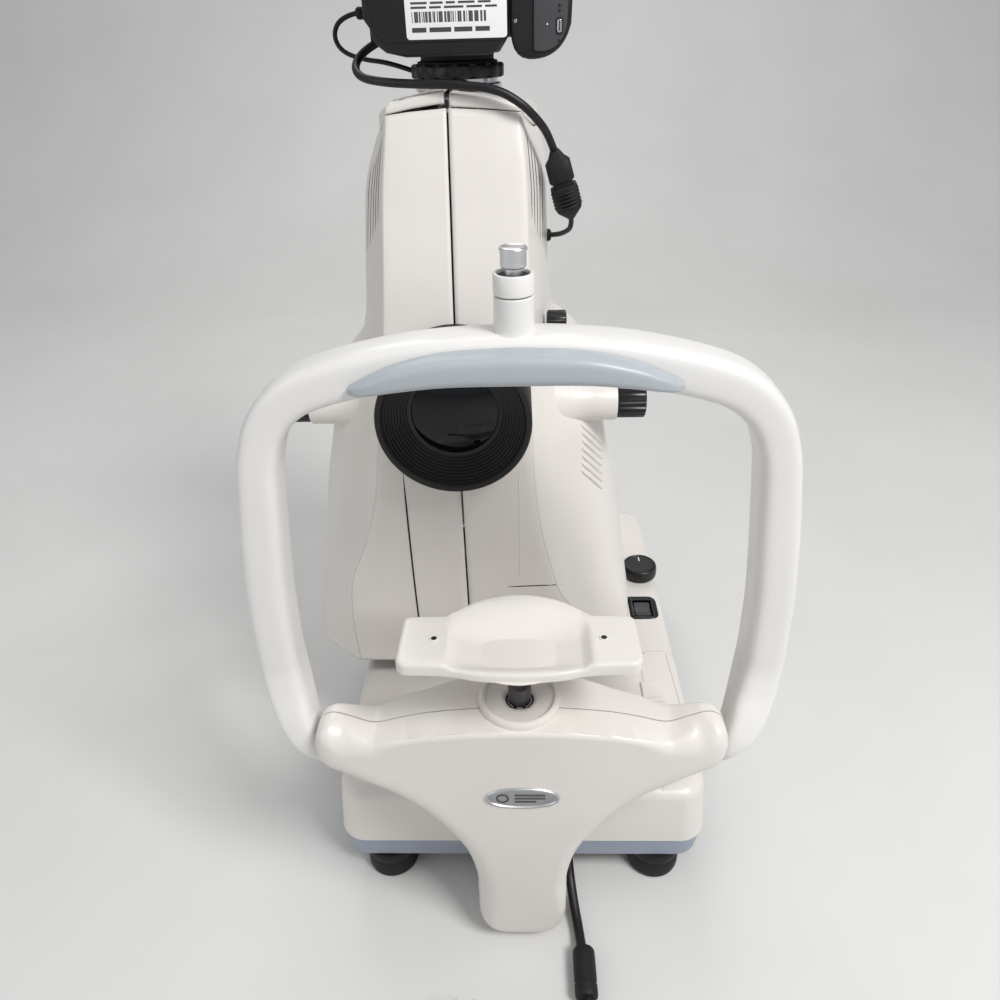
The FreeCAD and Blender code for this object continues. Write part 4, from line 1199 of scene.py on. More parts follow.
def make_head():
    """Left and right of the head: a front cover that runs up into the tower, and a side cover below it."""
    columns, rows = head_columns(), head_rows()
    for side, word in ((-1, "left"), (1, "right")):
        def front(u, z):
            if SHOULDER - SEAM < z < SHOULDER + SEAM and u > CREASE:
                return False
            return z > SHOULDER or u < CREASE

        def flank(u, z):
            return z < SHOULDER - SEAM and u > CREASE + 0.015

        cover = settled(skin("head_cover_" + word, side, columns, rows, front, IVORY))
        cover = merged("head_cover_" + word, [cover] + tower_slot_shades(side))
        place(cover, "head", "ivory", "head_cover_" + word)
        panel = settled(skin("side_cover_" + word, side, columns, rows, flank, IVORY))
        vents = flank_vents(side) if side > 0 else []
        panel = merged("side_cover_" + word, [panel, knob_boss(side)] + vents)
        place(panel, "head", "ivory", "side_cover_" + word)
    make_front_lines()
    make_caps(columns)


def settled(item):
    """Apply an object's modifiers to its mesh."""
    bpy.context.view_layer.update()
    seen = item.evaluated_get(bpy.context.evaluated_depsgraph_get())
    mesh = bpy.data.meshes.new_from_object(seen)
    item.modifiers.clear()
    item.data = mesh
    return item


def make_front_lines():
    """The panel joint left of centre, painted black as shade, its faint partner on the right, and the low
    ledge by the chinrest, drawn as a black line of painted shade.
    """
    lines = []
    x = 41
    # Both joints are real. The left one's bead is painted black for the shade that falls in it, and the right
    # one stays ivory.
    for side, rows, low, wide, deep, material in ((-1, LEFT_SECTIONS, HEAD_FLOOR + 4, 1.3, 0.5, BLACK_SOFT),
                                                  (1, RIGHT_SECTIONS, 236, 0.9, 0.3, IVORY)):
        line = []
        for step in range(40):
            z = low + (SHOULDER - 62 - low) * step / 39
            crease_x = table(rows, z)[0]
            panel_x = crease_x * 0.62
            u = 1 + (x - panel_x) / (crease_x * 0.38) if x > panel_x else x / panel_x
            line.append(on_head(side, u, z, -0.05))
        lines.append(bead("panel_joint", line, Vector((0, -1, 0)), wide, deep, material, 4))
    for line in lines:
        place(line, "head", "ivory")
    line = []
    for x, z in ((31, 230), (40, 230.5), (50, 230.5), (60, 230.5), (68, 229.8), (74, 227)):
        cx, _, ox, _, wx, _, _ = table(RIGHT_SECTIONS, z)
        stops = [0, cx * 0.62, cx, cx + (ox - cx) * 0.32, ox, wx]
        run = max(i for i in range(5) if stops[i] <= x)
        line.append(on_head(1, run + (x - stops[run]) / (stops[run + 1] - stops[run]), z, -0.1))
    # Painted shade: a thin black bead along the real step between the covers stands in for the shade under
    # its edge.
    ledge = bead("cover_ledge", line, Vector((0.1, -1, 0.1)), 0.9, 0.2, BLACK_SOFT, 4)
    place(ledge, "head", "black_plastic")


PORT = Vector((HEAD + 4, -5, 0))
CAP_GAP = 1.6
PORT_BORE = 30.5


def cap_point(side, u, level, inset):
    """A point of a lid at a level above the seam. It lies inset inside the cover, or on the port's bore."""
    point = on_head(side, u, TOP_SEAM, inset or 0)
    if inset is None:
        turn = math.radians(-90 + 180 * u / len(RUNS))
        point.x = PORT.x + side * PORT_BORE * math.cos(turn)
        point.y = PORT.y + PORT_BORE * math.sin(turn)
    across = max(CAP_GAP, side * (point.x - HEAD))
    point.x = HEAD + side * across
    rise = level * (1 + 0.9 * ease(u, 2.05, 4.6))
    crown = 3.4 * (across / 44) ** 2 * min(1, level / 7)
    sprung = 1.8 * (1 - ease(across, 0, 42)) * (1 - ease(u, 2, 5)) if side < 0 else 0
    point.z = seam_height(u) + rise - crown + sprung
    return point


def make_caps(columns):
    """Two lids over the tower, the left one a little sprung open, and the catch between them."""
    halves = []
    rows = ((0.8, 0), (2.4, 0), (5.4, 0.15), (6.9, 0.7), (7.6, 1.7), (7.9, 3), (8, 10), (8, 22), (8, None))
    for side in (-1, 1):
        rings = [[cap_point(side, u, level, inset) for u in columns] for level, inset in rows]
        halves.append(settled(walled(loft("top_cap", rings, IVORY, (False, False), False, 30), 1.6)))
    latch = chunk("cap_catch", (HEAD - 1.5, HEAD + 3.2), (-57, -50), (553.5, 562), ALLOY, 0.8)
    hook = chunk("cap_hook", (HEAD - 1.3, HEAD + 1.0), (-58, -54), (556, 561), BLACK_SOFT, 0.4)
    place(merged("top_caps", halves + [latch, hook]), "head", "ivory", "top_caps")


BARREL_Z = 386


def make_barrel():
    """The lens barrel, stepped like a funnel towards its lens."""
    profile = [(49, -100), (50, -101), (50, -144.6), (49.4, -145.6), (48.4, -146), (46.6, -146),
               (45.8, -145.2)]
    radius, y = 45.2, -143.5
    while radius > 31:
        profile += [(radius, y), (radius - 0.2, y + 0.9), (radius - 1.5, y + 0.8)]
        radius -= 1.7
        y += 1.45
    profile += [(28.4, -130.4), (28.4, -118)]
    barrel = lathe("lens_barrel", "Y", (HEAD, 0, BARREL_Z), profile, BLACK_SOFT, 128)
    place(barrel, "head", "black_plastic", "lens_barrel")
    dome = [(0.01, -134)] + [(3.5 * step, -134 + 4.2 * (step / 8) ** 2) for step in range(1, 9)]
    lens = lathe("objective_lens", "Y", (HEAD, 0, BARREL_Z), dome + [(28, -123), (0.01, -122)], GLASS, 96)
    place(lens, "head", "glass", "objective_lens")


def fluted(name, axis, centre, radius, start, end, flutes, depth, material, edge=1.2):
    """A knob whose rim is cut by shallow flutes."""
    across, side, along = AXES[axis]
    centre = Vector(centre)
    sign = 1 if end > start else -1
    profile = [(radius * 0.3, start), (radius - edge - 0.2, start), (radius - 0.3, start + sign * edge * 0.5),
               (radius, start + sign * edge), (radius, end - sign * edge),
               (radius - 0.35, end - sign * edge * 0.4),
               (radius - edge, end), (radius - edge - 1.4, end - sign * 0.7),
               (radius * 0.3, end - sign * 0.7), (0.01, end - sign * 0.7)]
    rings = []
    for size, distance in profile:
        is_cut = size > radius - 1 and abs(distance - start) > edge * 0.8
        ring = []
        for turn in turns(flutes * 6):
            reach = size - depth * max(0.0, math.cos(turn * flutes)) ** 0.7 if is_cut else size
            ring.append(centre + across * (reach * math.cos(turn)) + side * (reach * math.sin(turn))
                        + along * distance)
        rings.append(ring)
    return loft(name, rings, material, (True, False), True, 28)


def make_head_knobs():
    """The pair of focus knobs on one shaft with its pinion, and the small knob on the right flank."""
    centre = (HEAD, BOSS_Y, BOSS_Z)
    knobs = [fluted("focus_knob", "X", centre, 13, side * 113.5, side * 134, 22, 0.9, BLACK)
             for side in (-1, 1)]
    axle = rod("axle", "X", centre, 4, -114, 114, STEEL, 0.5, 32)
    gear = fluted("pinion", "X", centre, 8, -6, 6, 20, 1.6, STEEL, 0.6)
    place(merged("focus_knobs", knobs + [axle, gear]), "focus_knobs", "black_plastic", "focus_knobs")
    dial = fluted("aperture_knob", "X", (HEAD, -45, 418), 7.5, 62, 76, 16, 0.5, BLACK, 1.4)
    place(dial, "aperture_knob", "black_plastic", "aperture_knob")


# ---- headrest and chinrest ----

def bezier(start, first, second, end, steps=10):
    """Points of a curve pulled towards first and second; the end point itself is left out."""
    points = []
    for step in range(steps):
        t = step / steps
        rest = 1 - t
        points.append(tuple(start[i] * rest ** 3 + first[i] * 3 * t * rest ** 2
                            + second[i] * 3 * t * t * rest + end[i] * t ** 3 for i in (0, 1)))
    return points


def mirrored(half):
    """A closed counter-clockwise outline in x and z from its right half, listed from the bottom up."""
    return [(MID + x, z) for x, z in half] + [(MID - x, z) for x, z in half[::-1] if x > 0.01]


# Where the housing's halves meet, and its right edge in x and z: the top from the tip inward, the arm
# from the stem up to the tip.
SPLIT = -238
TOP_RUN = [(117, 228.4), (107, 224.4), (93.5, 219.4), (76, 224), (58, 228.2), (30, 231.5), (0, 232.5)]
ARM_RUN = [(33.2, 27), (32.9, 52), (33.6, 77), (41.5, 109), (60, 140), (81.5, 163), (104, 177.5),
           (121, 188.5), (129, 199), (131.2, 211), (129, 222), (123.6, 227.6)]


def shrunk(outline, inset):
    """A closed counter-clockwise outline moved inwards."""
    found = []
    for index, (x, z) in enumerate(outline):
        (x1, z1), (x2, z2) = outline[index - 1], outline[(index + 1) % len(outline)]
        size = math.hypot(x2 - x1, z2 - z1) or 1
        found.append((x - (z2 - z1) / size * inset, z + (x2 - x1) / size * inset))
    return found


def housing_half():
    """The right half of the housing's outline, from the bottom up."""
    half = [(0, 5.6), (8, 5.7)] + bezier((14, 6), (25, 7.4), (31.5, 14), (33, 25), 8)
    half += [(point.x, point.y) for point in smooth_line(ARM_RUN + TOP_RUN, 5)]
    return half


def housing_face(outline):
    """The front housing: a rounded T, crisp along its flat top and round everywhere else."""
    top = [(MID + x, z) for x, z in TOP_RUN] + [(MID - x, z) for x, z in TOP_RUN[-2::-1]]
    is_lower = [z < 217 or abs(x - MID) > 110 for x, z in outline]
    start = next(index for index, low in enumerate(is_lower) if low and not is_lower[index - 1])
    turned = list(zip(outline, is_lower))
    lower = [spot for spot, low in turned[start:] + turned[:start] if low]
    top, lower = top + top[::-1], lower + lower[::-1]

    def level(x, z, gap):
        across = abs(x - MID)
        bottom = distance_to([(x, z)], lower)[0]
        upper = distance_to([(x, z)], top)[0]
        sharp = 3.2 + 11.5 * ease(across, 72, 116)
        face = -257.8 - 3.8 * (1 - ease(z, 60, 222)) - 1.6 * (1 - (across / 132) ** 2)
        tip = ease(across, 112, 128) * ease(z, 184, 196)
        side = quarter(bottom, 17 - 4 * (1 - ease(z, 20, 80)) - 5 * tip, 16 - 6 * tip)
        face += (side ** 3 + quarter(upper, sharp, sharp * 0.85) ** 3) ** (1 / 3)
        return min(SPLIT - 1.2, face)

    return level


SHAFT_Y = -231


def make_housing():
    """The two halves of the housing with a black sheet in the gap between them as painted shade, and the
    collar round the shaft.
    """
    outline = dense(mirrored(housing_half()), 4.5)
    level = housing_face(outline)
    front = relief("housing_front", "XZ", outline, level, SPLIT - 0.45, IVORY,
                   insets=(0.35, 0.9, 1.7, 2.8, 4.2, 6, 8.2, 10.8, 14, 17.5), pitch=5, angle=48)
    place(front, "base", "ivory", "housing_front")

    def behind(x, z, gap):
        across = abs(x - MID)
        return -207 - 8.5 * ease(across, 30, 70) - 14 * ease(across, 66, 132) - quarter(gap, 5, 4.5)

    rear = relief("housing_rear", "XZ", outline, behind, SPLIT + 0.45, IVORY,
                  insets=(0.4, 1.1, 2.2, 3.6, 5), pitch=9, angle=48)
    place(rear, "base", "ivory", "housing_rear")
    inner = shrunk(outline, 1.1)
    # Painted shade: a black sheet set just inside the split stands in for the shade in the gap between the
    # halves.
    gap_shade = slab("housing_gap_shade", "XZ", inner, SPLIT - 0.8, SPLIT + 0.8, BLACK_SOFT, 0)
    place(gap_shade, "base", "black_plastic")

    collar = lathe("shaft_collar", "Z", (MID, SHAFT_Y, 0), [
        (9.2, 224), (26, 224), (26.2, 234.2), (25.8, 236), (24.9, 237.2), (23.8, 237.5), (22.8, 237.2),
        (22, 236.2), (21.6, 234.6), (20.6, 234.2), (12, 233.8), (10.2, 233.2), (9.4, 232.4), (9.2, 230)],
                   IVORY, 96)
    ring = lathe("wiper_ring", "Z", (MID, SHAFT_Y, 0), [
        (7.8, 226), (7.8, 232.4), (8.5, 232.8), (9.3, 232.2), (9.3, 226)], RUBBER, 64)
    place(merged("shaft_collar", [collar, ring]), "base", "ivory", "shaft_collar")
    make_name_plate(level(MID + 1, 172.5, 60))


def make_name_plate(face):
    """A blank oval plate with a raised polished rim and a plain ring-and-bars mark."""
    x, z = MID + 1, 172.5
    oval = [(x + 24.5 * squared(math.cos(turn), 0.92), z + 10 * squared(math.sin(turn), 0.92))
            for turn in turns(72)]
    y = face - 0.1
    plate = relief("name_plate", "XZ", oval,
                   lambda a, b, gap: y - 1.2 + quarter(gap, 0.8, 0.7) + 0.7 * ease(gap, 1.5, 2.0),
                   y + 4, BADGE, insets=(0.25, 0.55, 0.9, 1.5, 2.0, 2.8), pitch=4)
    ring = [(3.0, y + 0.6), (3.0, y - 0.8), (3.3, y - 1.0), (3.9, y - 1.0), (4.2, y - 0.8), (4.2, y + 0.6)]
    marks = [lathe("ring", "Y", (x - 13, 0, z), ring, DARK_GREY, 40)]
    for rise, length in ((3.2, 20), (0, 20), (-3.2, 14)):
        bar = rounded_box_outline(x - 5, x - 5 + length, z + rise - 0.6, z + rise + 0.6, 0.5, 3)
        marks.append(slab("bar", "XZ", bar, y - 0.9, y + 0.6, DARK_GREY, 0.15))
    place(merged("name_plate", [plate] + marks), "base", "badge", "name_badge")


ARCH_Y = -210
# The arch from its foot to the crown: distance from the middle, height, half width, y and half depth.
ARCH_LINE = [(131.4, 183.5, 1.6, -236, 3), (132.6, 187, 3.8, -235.4, 7), (136, 195, 7.6, -233.4, 11.4),
             (142.2, 205, 10.4, -229, 14.2), (148, 216.5, 12.4, -222.5, 15.4), (152.6, 230, 13.2, -215, 15.2),
             (155, 246, 13.1, -210.6, 15), (155, 264, 12.8, -210, 15), (153, 304, 12.6, -210, 15),
             (148.6, 345, 12.4, -210, 15), (143.6, 382, 11.6, -210, 15), (140, 402, 11.2, -210, 15),
             (132, 422, 11.2, -210, 15), (117, 437.5, 11.4, -210, 15), (95, 446.5, 11.7, -210, 15),
             (60, 454.2, 12, -210, 15), (28, 457.6, 12, -210, 15), (0, 458.4, 12, -210, 15)]


def spaced(rows, steps):
    """Rows of numbers joined smoothly, each column on its own."""
    ends = [rows[0]] + rows + [rows[-1]]
    found = []
    for index in range(1, len(rows)):
        before, here, there, after = ends[index - 1:index + 3]
        for step in range(steps):
            t = step / steps
            found.append(tuple(0.5 * (2 * b + (c - a) * t + (2 * a - 5 * b + 4 * c - d) * t * t
                                      + (3 * b - a - 3 * c + d) * t ** 3)
                               for a, b, c, d in zip(before, here, there, after)))
    return found + [rows[-1]]


def make_arch():
    """The headrest's tube, flattened and boxy, with the post that carries the lamp."""
    half = spaced(ARCH_LINE, 6)
    line = [(MID - row[0], *row[1:]) for row in half] + [(MID + row[0], *row[1:]) for row in half[-2::-1]]
    rings = []
    for index, (x, z, width, y, deep) in enumerate(line):
        ahead, behind = line[min(index + 1, len(line) - 1)], line[max(index - 1, 0)]
        along = Vector((ahead[0] - behind[0], 0, ahead[1] - behind[1])).normalized()
        power = 1 - 0.5 * ease(z, 184, 206)
        rings.append(soft_box(Vector((x, y, z)), Vector((-along.z, 0, along.x)), AWAY, width, deep, power))
    tube = loft("headrest_arch", rings, IVORY_COOL, angle=50)
    post = lathe("lamp_post", "Z", (MID, ARCH_Y, 0), [
        (9, 462), (12.4, 467.4), (11.0, 469.2), (10.3, 471.6), (10.1, 476), (10, 487), (9.5, 487.5),
        (6.6, 487.5), (6.6, 480)], IVORY_COOL, 72)
    place(merged("headrest_arch", [tube, post]), "base", "ivory", "headrest_arch")


def make_lamp():
    """The fixation lamp: a sleeve that turns on its post, its bore lined black as painted shade, and the
    silver knob within it.
    """
    sleeve = lathe("lamp_sleeve", "Z", (MID, ARCH_Y, 0), [
        (5, 484), (6.2, 484), (6.2, 487.8), (8.8, 487.9), (8.8, 488.4), (9.7, 488.4), (10.1, 488.9),
        (10.1, 497.6), (9.7, 498.3), (8.8, 498.5), (8.2, 498.2), (7.9, 497.4), (7.6, 492.4), (4.6, 492.2)],
                   IVORY_COOL, 72)
    # Painted shade: the sleeve's bore is lined black for the shade in the recess round the knob's stem.
    cup = lathe("sleeve_bore_shade", "Z", (MID, ARCH_Y, 0), [(7.55, 497), (7.5, 492.6), (4.4, 492.5)],
                BLACK_SOFT, 48)
    place(merged("lamp_sleeve", [sleeve, cup]), "lamp_sleeve", "ivory", "lamp_sleeve")
    stem_line = [(3.2, 484), (3.2, 494), (5.4, 494.4), (5.8, 495.2), (5.8, 496.4), (4.2, 497), (4.2, 501.2)]
    stem = lathe("stem", "Z", (MID, ARCH_Y, 0), stem_line, BRUSHED, 48)
    head = lathe("lamp_head", "Z", (MID, ARCH_Y, 0), [
        (4.2, 501), (6.0, 501), (6.4, 501.5), (6.4, 508.6), (6.9, 508.9), (6.9, 509.7), (6.4, 510.3),
        (5.6, 510.5), (5, 510.2), (0.01, 510.2)], BRUSHED, 72)
    place(merged("lamp_knob", [stem, head]), "lamp_knob", "bright", "lamp_knob")


# The forehead pad from its middle outward: distance from the middle, lower edge, upper edge, thickness.
PAD_EDGES = [(0, 449.2, 466.6, 12.6), (34, 448.9, 464.8, 12.3), (58, 446.6, 459.4, 11.2),
             (70, 444.8, 454.6, 9.8), (78, 443.9, 450.6, 7.8), (82.5, 444.4, 448.2, 4.6),
             (83.6, 445.6, 446.6, 1.6)]


def make_pad():
    """The soft pad along the arch's crown, flat at the back and bulging towards the forehead."""
    half = spaced(PAD_EDGES, 8)
    line = [(MID - row[0], *row[1:]) for row in half[::-1]] + [(MID + row[0], *row[1:]) for row in half[1:]]
    bar = -225.3
    rings = []
    for x, low, high, thick in line:
        rings.append([
            (x, bar - thick * max(0, math.sin(turn)) ** 0.62,
             (low + high) / 2 + (high - low) / 2 * squared(math.cos(turn), 0.55)) for turn in turns(48, 0.5)])
    pad = loft("forehead_pad", rings, PAD, angle=60)
    place(pad, "base", "pad", "forehead_pad")


def cup_outline():
    """The chin cup from above: two flat wings, a bulging front and a rounded back."""
    wing, rear, front = 71, -219, -262
    line = [(-wing + 7, front)]
    line += bezier((-62, front), (-48, front - 0.2), (-42, front - 0.8), (-34, -264.2), 6)
    line += bezier((-33, -264.6), (-18, -269.8), (18, -269.8), (33, -264.6), 16)
    line += bezier((34, -264.2), (42, front - 0.8), (48, front - 0.2), (62, front), 6)
    line += arc((wing - 7, front + 7), 7, 270, 360, 7)
    line += arc((wing - 5.5, rear - 5.5), 5, 0, 90, 6)
    line += [(56, rear), (45, rear)]
    line += bezier((42, rear + 0.4), (28, -209.5), (13, -206.2), (0, -206.2), 10)
    line += bezier((0, -206.2), (-13, -206.2), (-28, -209.5), (-42, rear + 0.4), 10)
    line += [(-45, rear), (-56, rear)]
    line += arc((-wing + 5.5, rear - 5.5), 5, 90, 180, 6)
    line += arc((-wing + 7, front + 7), 7, 180, 270, 7)[:-1]
    return dense([(MID + x, y) for x, y in line], 3.5)


def make_chin_cup():
    """The chin cup with its basin, boss and pin holes, whose black linings are painted shade, and the shaft
    that carries it.
    """
    def level(x, y, gap):
        across = abs(x - MID)
        inside_cup = 1 - ease(across, 38.5, 42)
        bowl = -6.2 * (1 - (across / 46) ** 2) * ease(y, -266, -254) - 2.2
        wall = 14.5 * (1 - 0.62 * min(1, (across / 41) ** 2)) * ease(y, -238, -212)
        if y > -219:
            inside_cup = 1
        return 293 + inside_cup * (bowl + wall) - quarter(gap, 2.6, 2.4)

    pins = [(MID + side * 50, -240) for side in (-1, 1)]
    cup = relief("chin_cup", "XY", cup_outline(), level, 285, IVORY, insets=(0.3, 0.8, 1.5, 2.6), pitch=2.6,
                 holes=[(arc(pin, 1.75, 0, 345, 23), 7) for pin in pins])
    rings = []
    for pin in pins:
        rings.append(lathe("pin_bush", "Z", (*pin, 0), [
            (1.75, 290), (1.75, 293.3), (2.0, 293.6), (2.6, 293.6), (2.9, 293.2), (3.0, 292.4)], IVORY, 40))
        # Painted shade: a black lining in each pin hole stands in for the shade inside it.
        rings.append(lathe("pin_well_shade", "Z", (*pin, 0), [
            (0.01, 289.5), (1.5, 289.6), (1.72, 293.2)], BLACK_SOFT, 32))
    boss = lathe("cup_boss", "Z", (MID, -234, 0), [
        (8.2, 281.2), (22, 281.2), (24, 281.8), (34, 284.6), (37, 286)], IVORY, 72)
    place(merged("chin_cup", [cup, boss] + rings), "chinrest", "ivory", "chin_cup")
    shaft = rod("chin_shaft", "Z", (MID, SHAFT_Y, 0), 7.5, span("chin_shaft")[0].z, 285, SHAFT_PAINTED_DARK, 0.8, 96)
    place(shaft, "chinrest", "bright", "chin_shaft")


# ---- photographic camera and its port ----

def make_port():
    """The port on top of the tower: a bright throat, a fluted ring and the mount above it."""
    throat = lathe("port_throat", "Z", PORT, [
        (20, 545), (27, 545), (27.2, 562.8), (28.4, 563.4), (28.8, 564.2), (28.8, 566.4), (28.2, 567.2),
        (27, 567.4), (26.4, 567.6), (26.4, 570.2), (22, 570.4)], CHROME, 96)
    ring = fluted("port_ring", "Z", PORT, 30.4, 570, 578, 16, 1.3, BLACK, 1.2)
    upper = lathe("port_mount", "Z", PORT, [
        (20, 577.6), (26, 577.6), (26.2, 579.4), (24.4, 579.8), (23.8, 580.4), (23.8, 583.4), (25.4, 583.8),
        (25.6, 584.9)], BLACK_SOFT, 96)
    screws = []
    for turn in (200, 262, 315):
        angle = math.radians(turn)
        spot = PORT + Vector((26.4 * math.cos(angle), 26.4 * math.sin(angle), 568.9))
        screws.append(rod("set_screw", "Y", spot, 1.5, -1.2, 1.2, STEEL, 0.3, 20))
    place(merged("camera_port", [throat, ring, upper] + screws), "head", "black_plastic", "camera_port")


# The y of the photographic camera's base plate, which faces the patient.
BASE_PLATE = -47


def at_head(outline):
    """An outline drawn about the head's centre plane."""
    return [(HEAD + x, z) for x, z in outline]


def box_at_head(left, right, low, high, radius, steps):
    """A rounded box drawn about the head's centre plane."""
    return rounded_box_outline(HEAD + left, HEAD + right, low, high, radius, steps)


def label_marks():
    """Three rows of dashes on the label, none of them lettering."""
    marks = []
    for row, z, tall in ((0, 595.6, 2.4), (1, 607.4, 1.1), (2, 609.6, 1.1)):
        start = HEAD - 19
        for word in range(4 + row):
            length = 8.5 - row * 1.6 + 2.2 * ((word * 2 + row) % 3)
            dash = [(start, z), (start + length, z), (start + length, z + tall), (start, z + tall)]
            marks.append(slab("mark", "XZ", dash, BASE_PLATE - 0.52, BASE_PLATE - 0.4, DARK_GREY, 0))
            start += length + 1.8
            if start > HEAD + 26:
                break
    return marks


def make_photo_camera():
    """A reflex camera that looks down into the port: its base plate faces the patient."""
    hull = [(-48, 603), (-44.5, 598), (-43, 591), (-36, 585.6), (-24, 583), (26, 583), (33, 585.6),
            (36.6, 591), (38.6, 604), (40, 650), (-48, 650)]
    body = slab("hull", "XZ", at_head(hull), BASE_PLATE + 0.6, 46, BLACK, 2.4, 4)
    plate_line = [(-43.5, 606), (-41, 596), (-34, 590.5), (32, 590.5), (35, 596), (36.4, 606), (37, 648),
                  (-45, 648)]
    foot = slab("base_plate", "XZ", at_head(plate_line), BASE_PLATE - 0.1, BASE_PLATE + 3, BLACK, 0.7)
    grip_line = bezier((39, 604), (38.6, 590), (40, 581.4), (50, 580.3), 7)
    grip_line += bezier((50, 580.3), (60, 579.6), (74, 583), (76.2, 604), 10)
    grip_line += [(76.8, 640), (74, 648), (41, 648)]
    grip = slab("grip", "XZ", at_head(grip_line), BASE_PLATE + 0.2, 42, GRIP, 3.2, 5)
    web = chunk("web", (HEAD + 36, HEAD + 43), (BASE_PLATE + 5, 38), (592, 646), BLACK, 1.4)
    finder_line = [(-24, 590), (20, 590), (24, 600), (16, 646), (-20, 646), (-28, 600)]
    hump = slab("finder", "XZ", at_head(finder_line), 40, 62, BLACK, 3, 4)
    mount = lathe("lens_mount", "Z", PORT, [
        (18, 583.6), (27, 583.6), (28.6, 584.6), (29, 587), (28, 588.8)], BLACK_SOFT, 72)
    label = slab("bottom_label", "XZ", box_at_head(-22.5, 37.2, 592, 648, 2, 4), BASE_PLATE - 0.45,
                 BASE_PLATE + 0.5, LABEL, 0.12)
    marks = label_marks()
    back = slab("back_screen", "XY", box_at_head(-38, 26, -34, 22, 3, 4), 649, 651.4, BLACK, 0.8)
    glass = slab("screen_glass", "XY", box_at_head(-34, 22, -30, 18, 1.5, 4), 651, 652, SCREEN, 0.3)
    eye = slab("eyecup", "XY", box_at_head(-15, 11, 30, 52, 5, 5), 645, 655.8, RUBBER, 2)
    keys = [rod("key", "Z", (HEAD + 33 + 3 * (index % 2), -30 + index * 11, 0), 2.7, 648, 651.2,
                DARK_GREY, 0.6, 24) for index in range(5)]
    pad_line = [(0.01, 650.6), (4, 650.6), (4.6, 651), (5.2, 650.4), (9.4, 650.6), (10.2, 650), (10.4, 646)]
    pad = lathe("cross_pad", "Z", (HEAD + 58, -14, 0), pad_line, DARK_GREY, 48)
    ports = slab("port_cover", "YZ", rounded_box_outline(-18, 6, 590, 616, 3, 4), HEAD - 49.2, HEAD - 46,
                 RUBBER, 0.9)
    stud = rod("stud", "Y", (HEAD + 42.2, 0, 600), 1.1, BASE_PLATE - 0.6, BASE_PLATE + 1, STEEL, 0.3, 20)
    pieces = [body, foot, grip, web, hump, mount, label, back, glass, eye, pad, ports] + marks + keys + [stud]
    place(merged("photo_camera", pieces), "head", "black_plastic", "camera_body")


def make_battery_door():
    """The door at the grip's end, with its latch in a well and a few dots; the well and the latch's slot are
    black as painted shade.
    """
    door_line = [(53, 586)] + bezier((53.4, 584.8), (62, 583.2), (72.2, 586), (73.2, 604), 9)
    door_line += [(73.2, 621.4), (53, 621.4)]
    # Painted shade: the black well round the latch and the black slot in the chrome latch stand in for the
    # shade in these recesses.
    layers = (("battery_lid", at_head(door_line), 1.3, 0.1, DARK_GREY, 0.5),
              ("latch_well_shade", box_at_head(65.6, 70.4, 592.4, 601.6, 2.3, 8), 1.45, 0.6, BLACK_SOFT, 0.1),
              ("latch", box_at_head(66.6, 69.4, 593.6, 600.4, 1.3, 6), 1.95, 0.9, CHROME, 0.3),
              ("slot", box_at_head(67.7, 68.3, 594.4, 599.6, 0.25, 2), 2.05, 1, BLACK_SOFT, 0))
    pieces = [slab(name, "XZ", outline, BASE_PLATE - front, BASE_PLATE - back, material, edge)
              for name, outline, front, back, material, edge in layers]
    pieces.append(rod("hinge", "Z", (HEAD + 72.2, BASE_PLATE - 0.2, 0), 0.6, 604, 620, STEEL, 0.2, 16))
    for z in (586.9, 589.6, 604.6, 607.2):
        pieces.append(rod("dot", "Y", (HEAD + 68, 0, z), 0.75, BASE_PLATE - 1.7, BASE_PLATE - 0.9,
                          BLACK_SOFT, 0.2, 16))
    pieces.append(rod("dot", "Y", (HEAD + 60.8, 0, 598), 0.5, BASE_PLATE - 1.6, BASE_PLATE - 0.9, WHITE_INK,
                      0.15, 16))
    place(merged("battery_lid", pieces), "battery_door", "black_plastic", "battery_door")


def make_camera_controls():
    """The mode dial with its dots, the release, and the shoulder of the grip under them."""
    x, z = HEAD + 50, 632
    dial = fluted("mode_dial", "Y", (x, 0, z), 10, 50.3, 57, 30, 0.5, BLACK, 0.8)
    pips = [rod("pip", "Y", (x + 7.4 * math.cos(turn), 0, z + 7.4 * math.sin(turn)), 0.45, 56, 56.7,
                WHITE_INK, 0.1, 12)
            for turn in turns(12)]
    place(merged("mode_dial", [dial] + pips), "mode_dial", "black_plastic", "mode_dial")
    button = lathe("shutter_release", "Y", (HEAD + 62, 0, 604), [
        (2, 49), (4.4, 49.2), (4.5, 52), (4.1, 52.8), (3, 52.5), (0.01, 52.2)], BRUSHED, 48)
    place(button, "shutter_release", "bright", "shutter_release")
    shoulder = slab("grip_top", "XZ", box_at_head(41, 73, 596, 645, 6, 6), 40, 49, BLACK, 2)
    place(shoulder, "head", "black_plastic")


# ---- stage, lift, joystick, monitor and inner parts ----

def hollow_ring(name, centre, bore, radius, start, end, flutes, depth, material):
    """A fluted ring about Z with a round bore."""
    profile = [(bore, start + 0.6), (bore + 0.6, start), (radius - 1, start), (radius, start + 1),
               (radius, end - 1), (radius - 1, end), (bore + 0.6, end), (bore, end - 0.6),
               (bore, start + 0.6)]
    rings = []
    for size, z in profile[:-1]:
        ring = []
        for turn in turns(flutes * 6):
            reach = size - (depth * max(0.0, math.cos(turn * flutes)) if size > radius - 0.5 else 0)
            ring.append((centre[0] + reach * math.cos(turn), centre[1] + reach * math.sin(turn), z))
        rings.append(ring)
    rings.append(rings[0])
    return loft(name, rings, material, (False, False), True, 30)


STICK = (HEAD, 215)


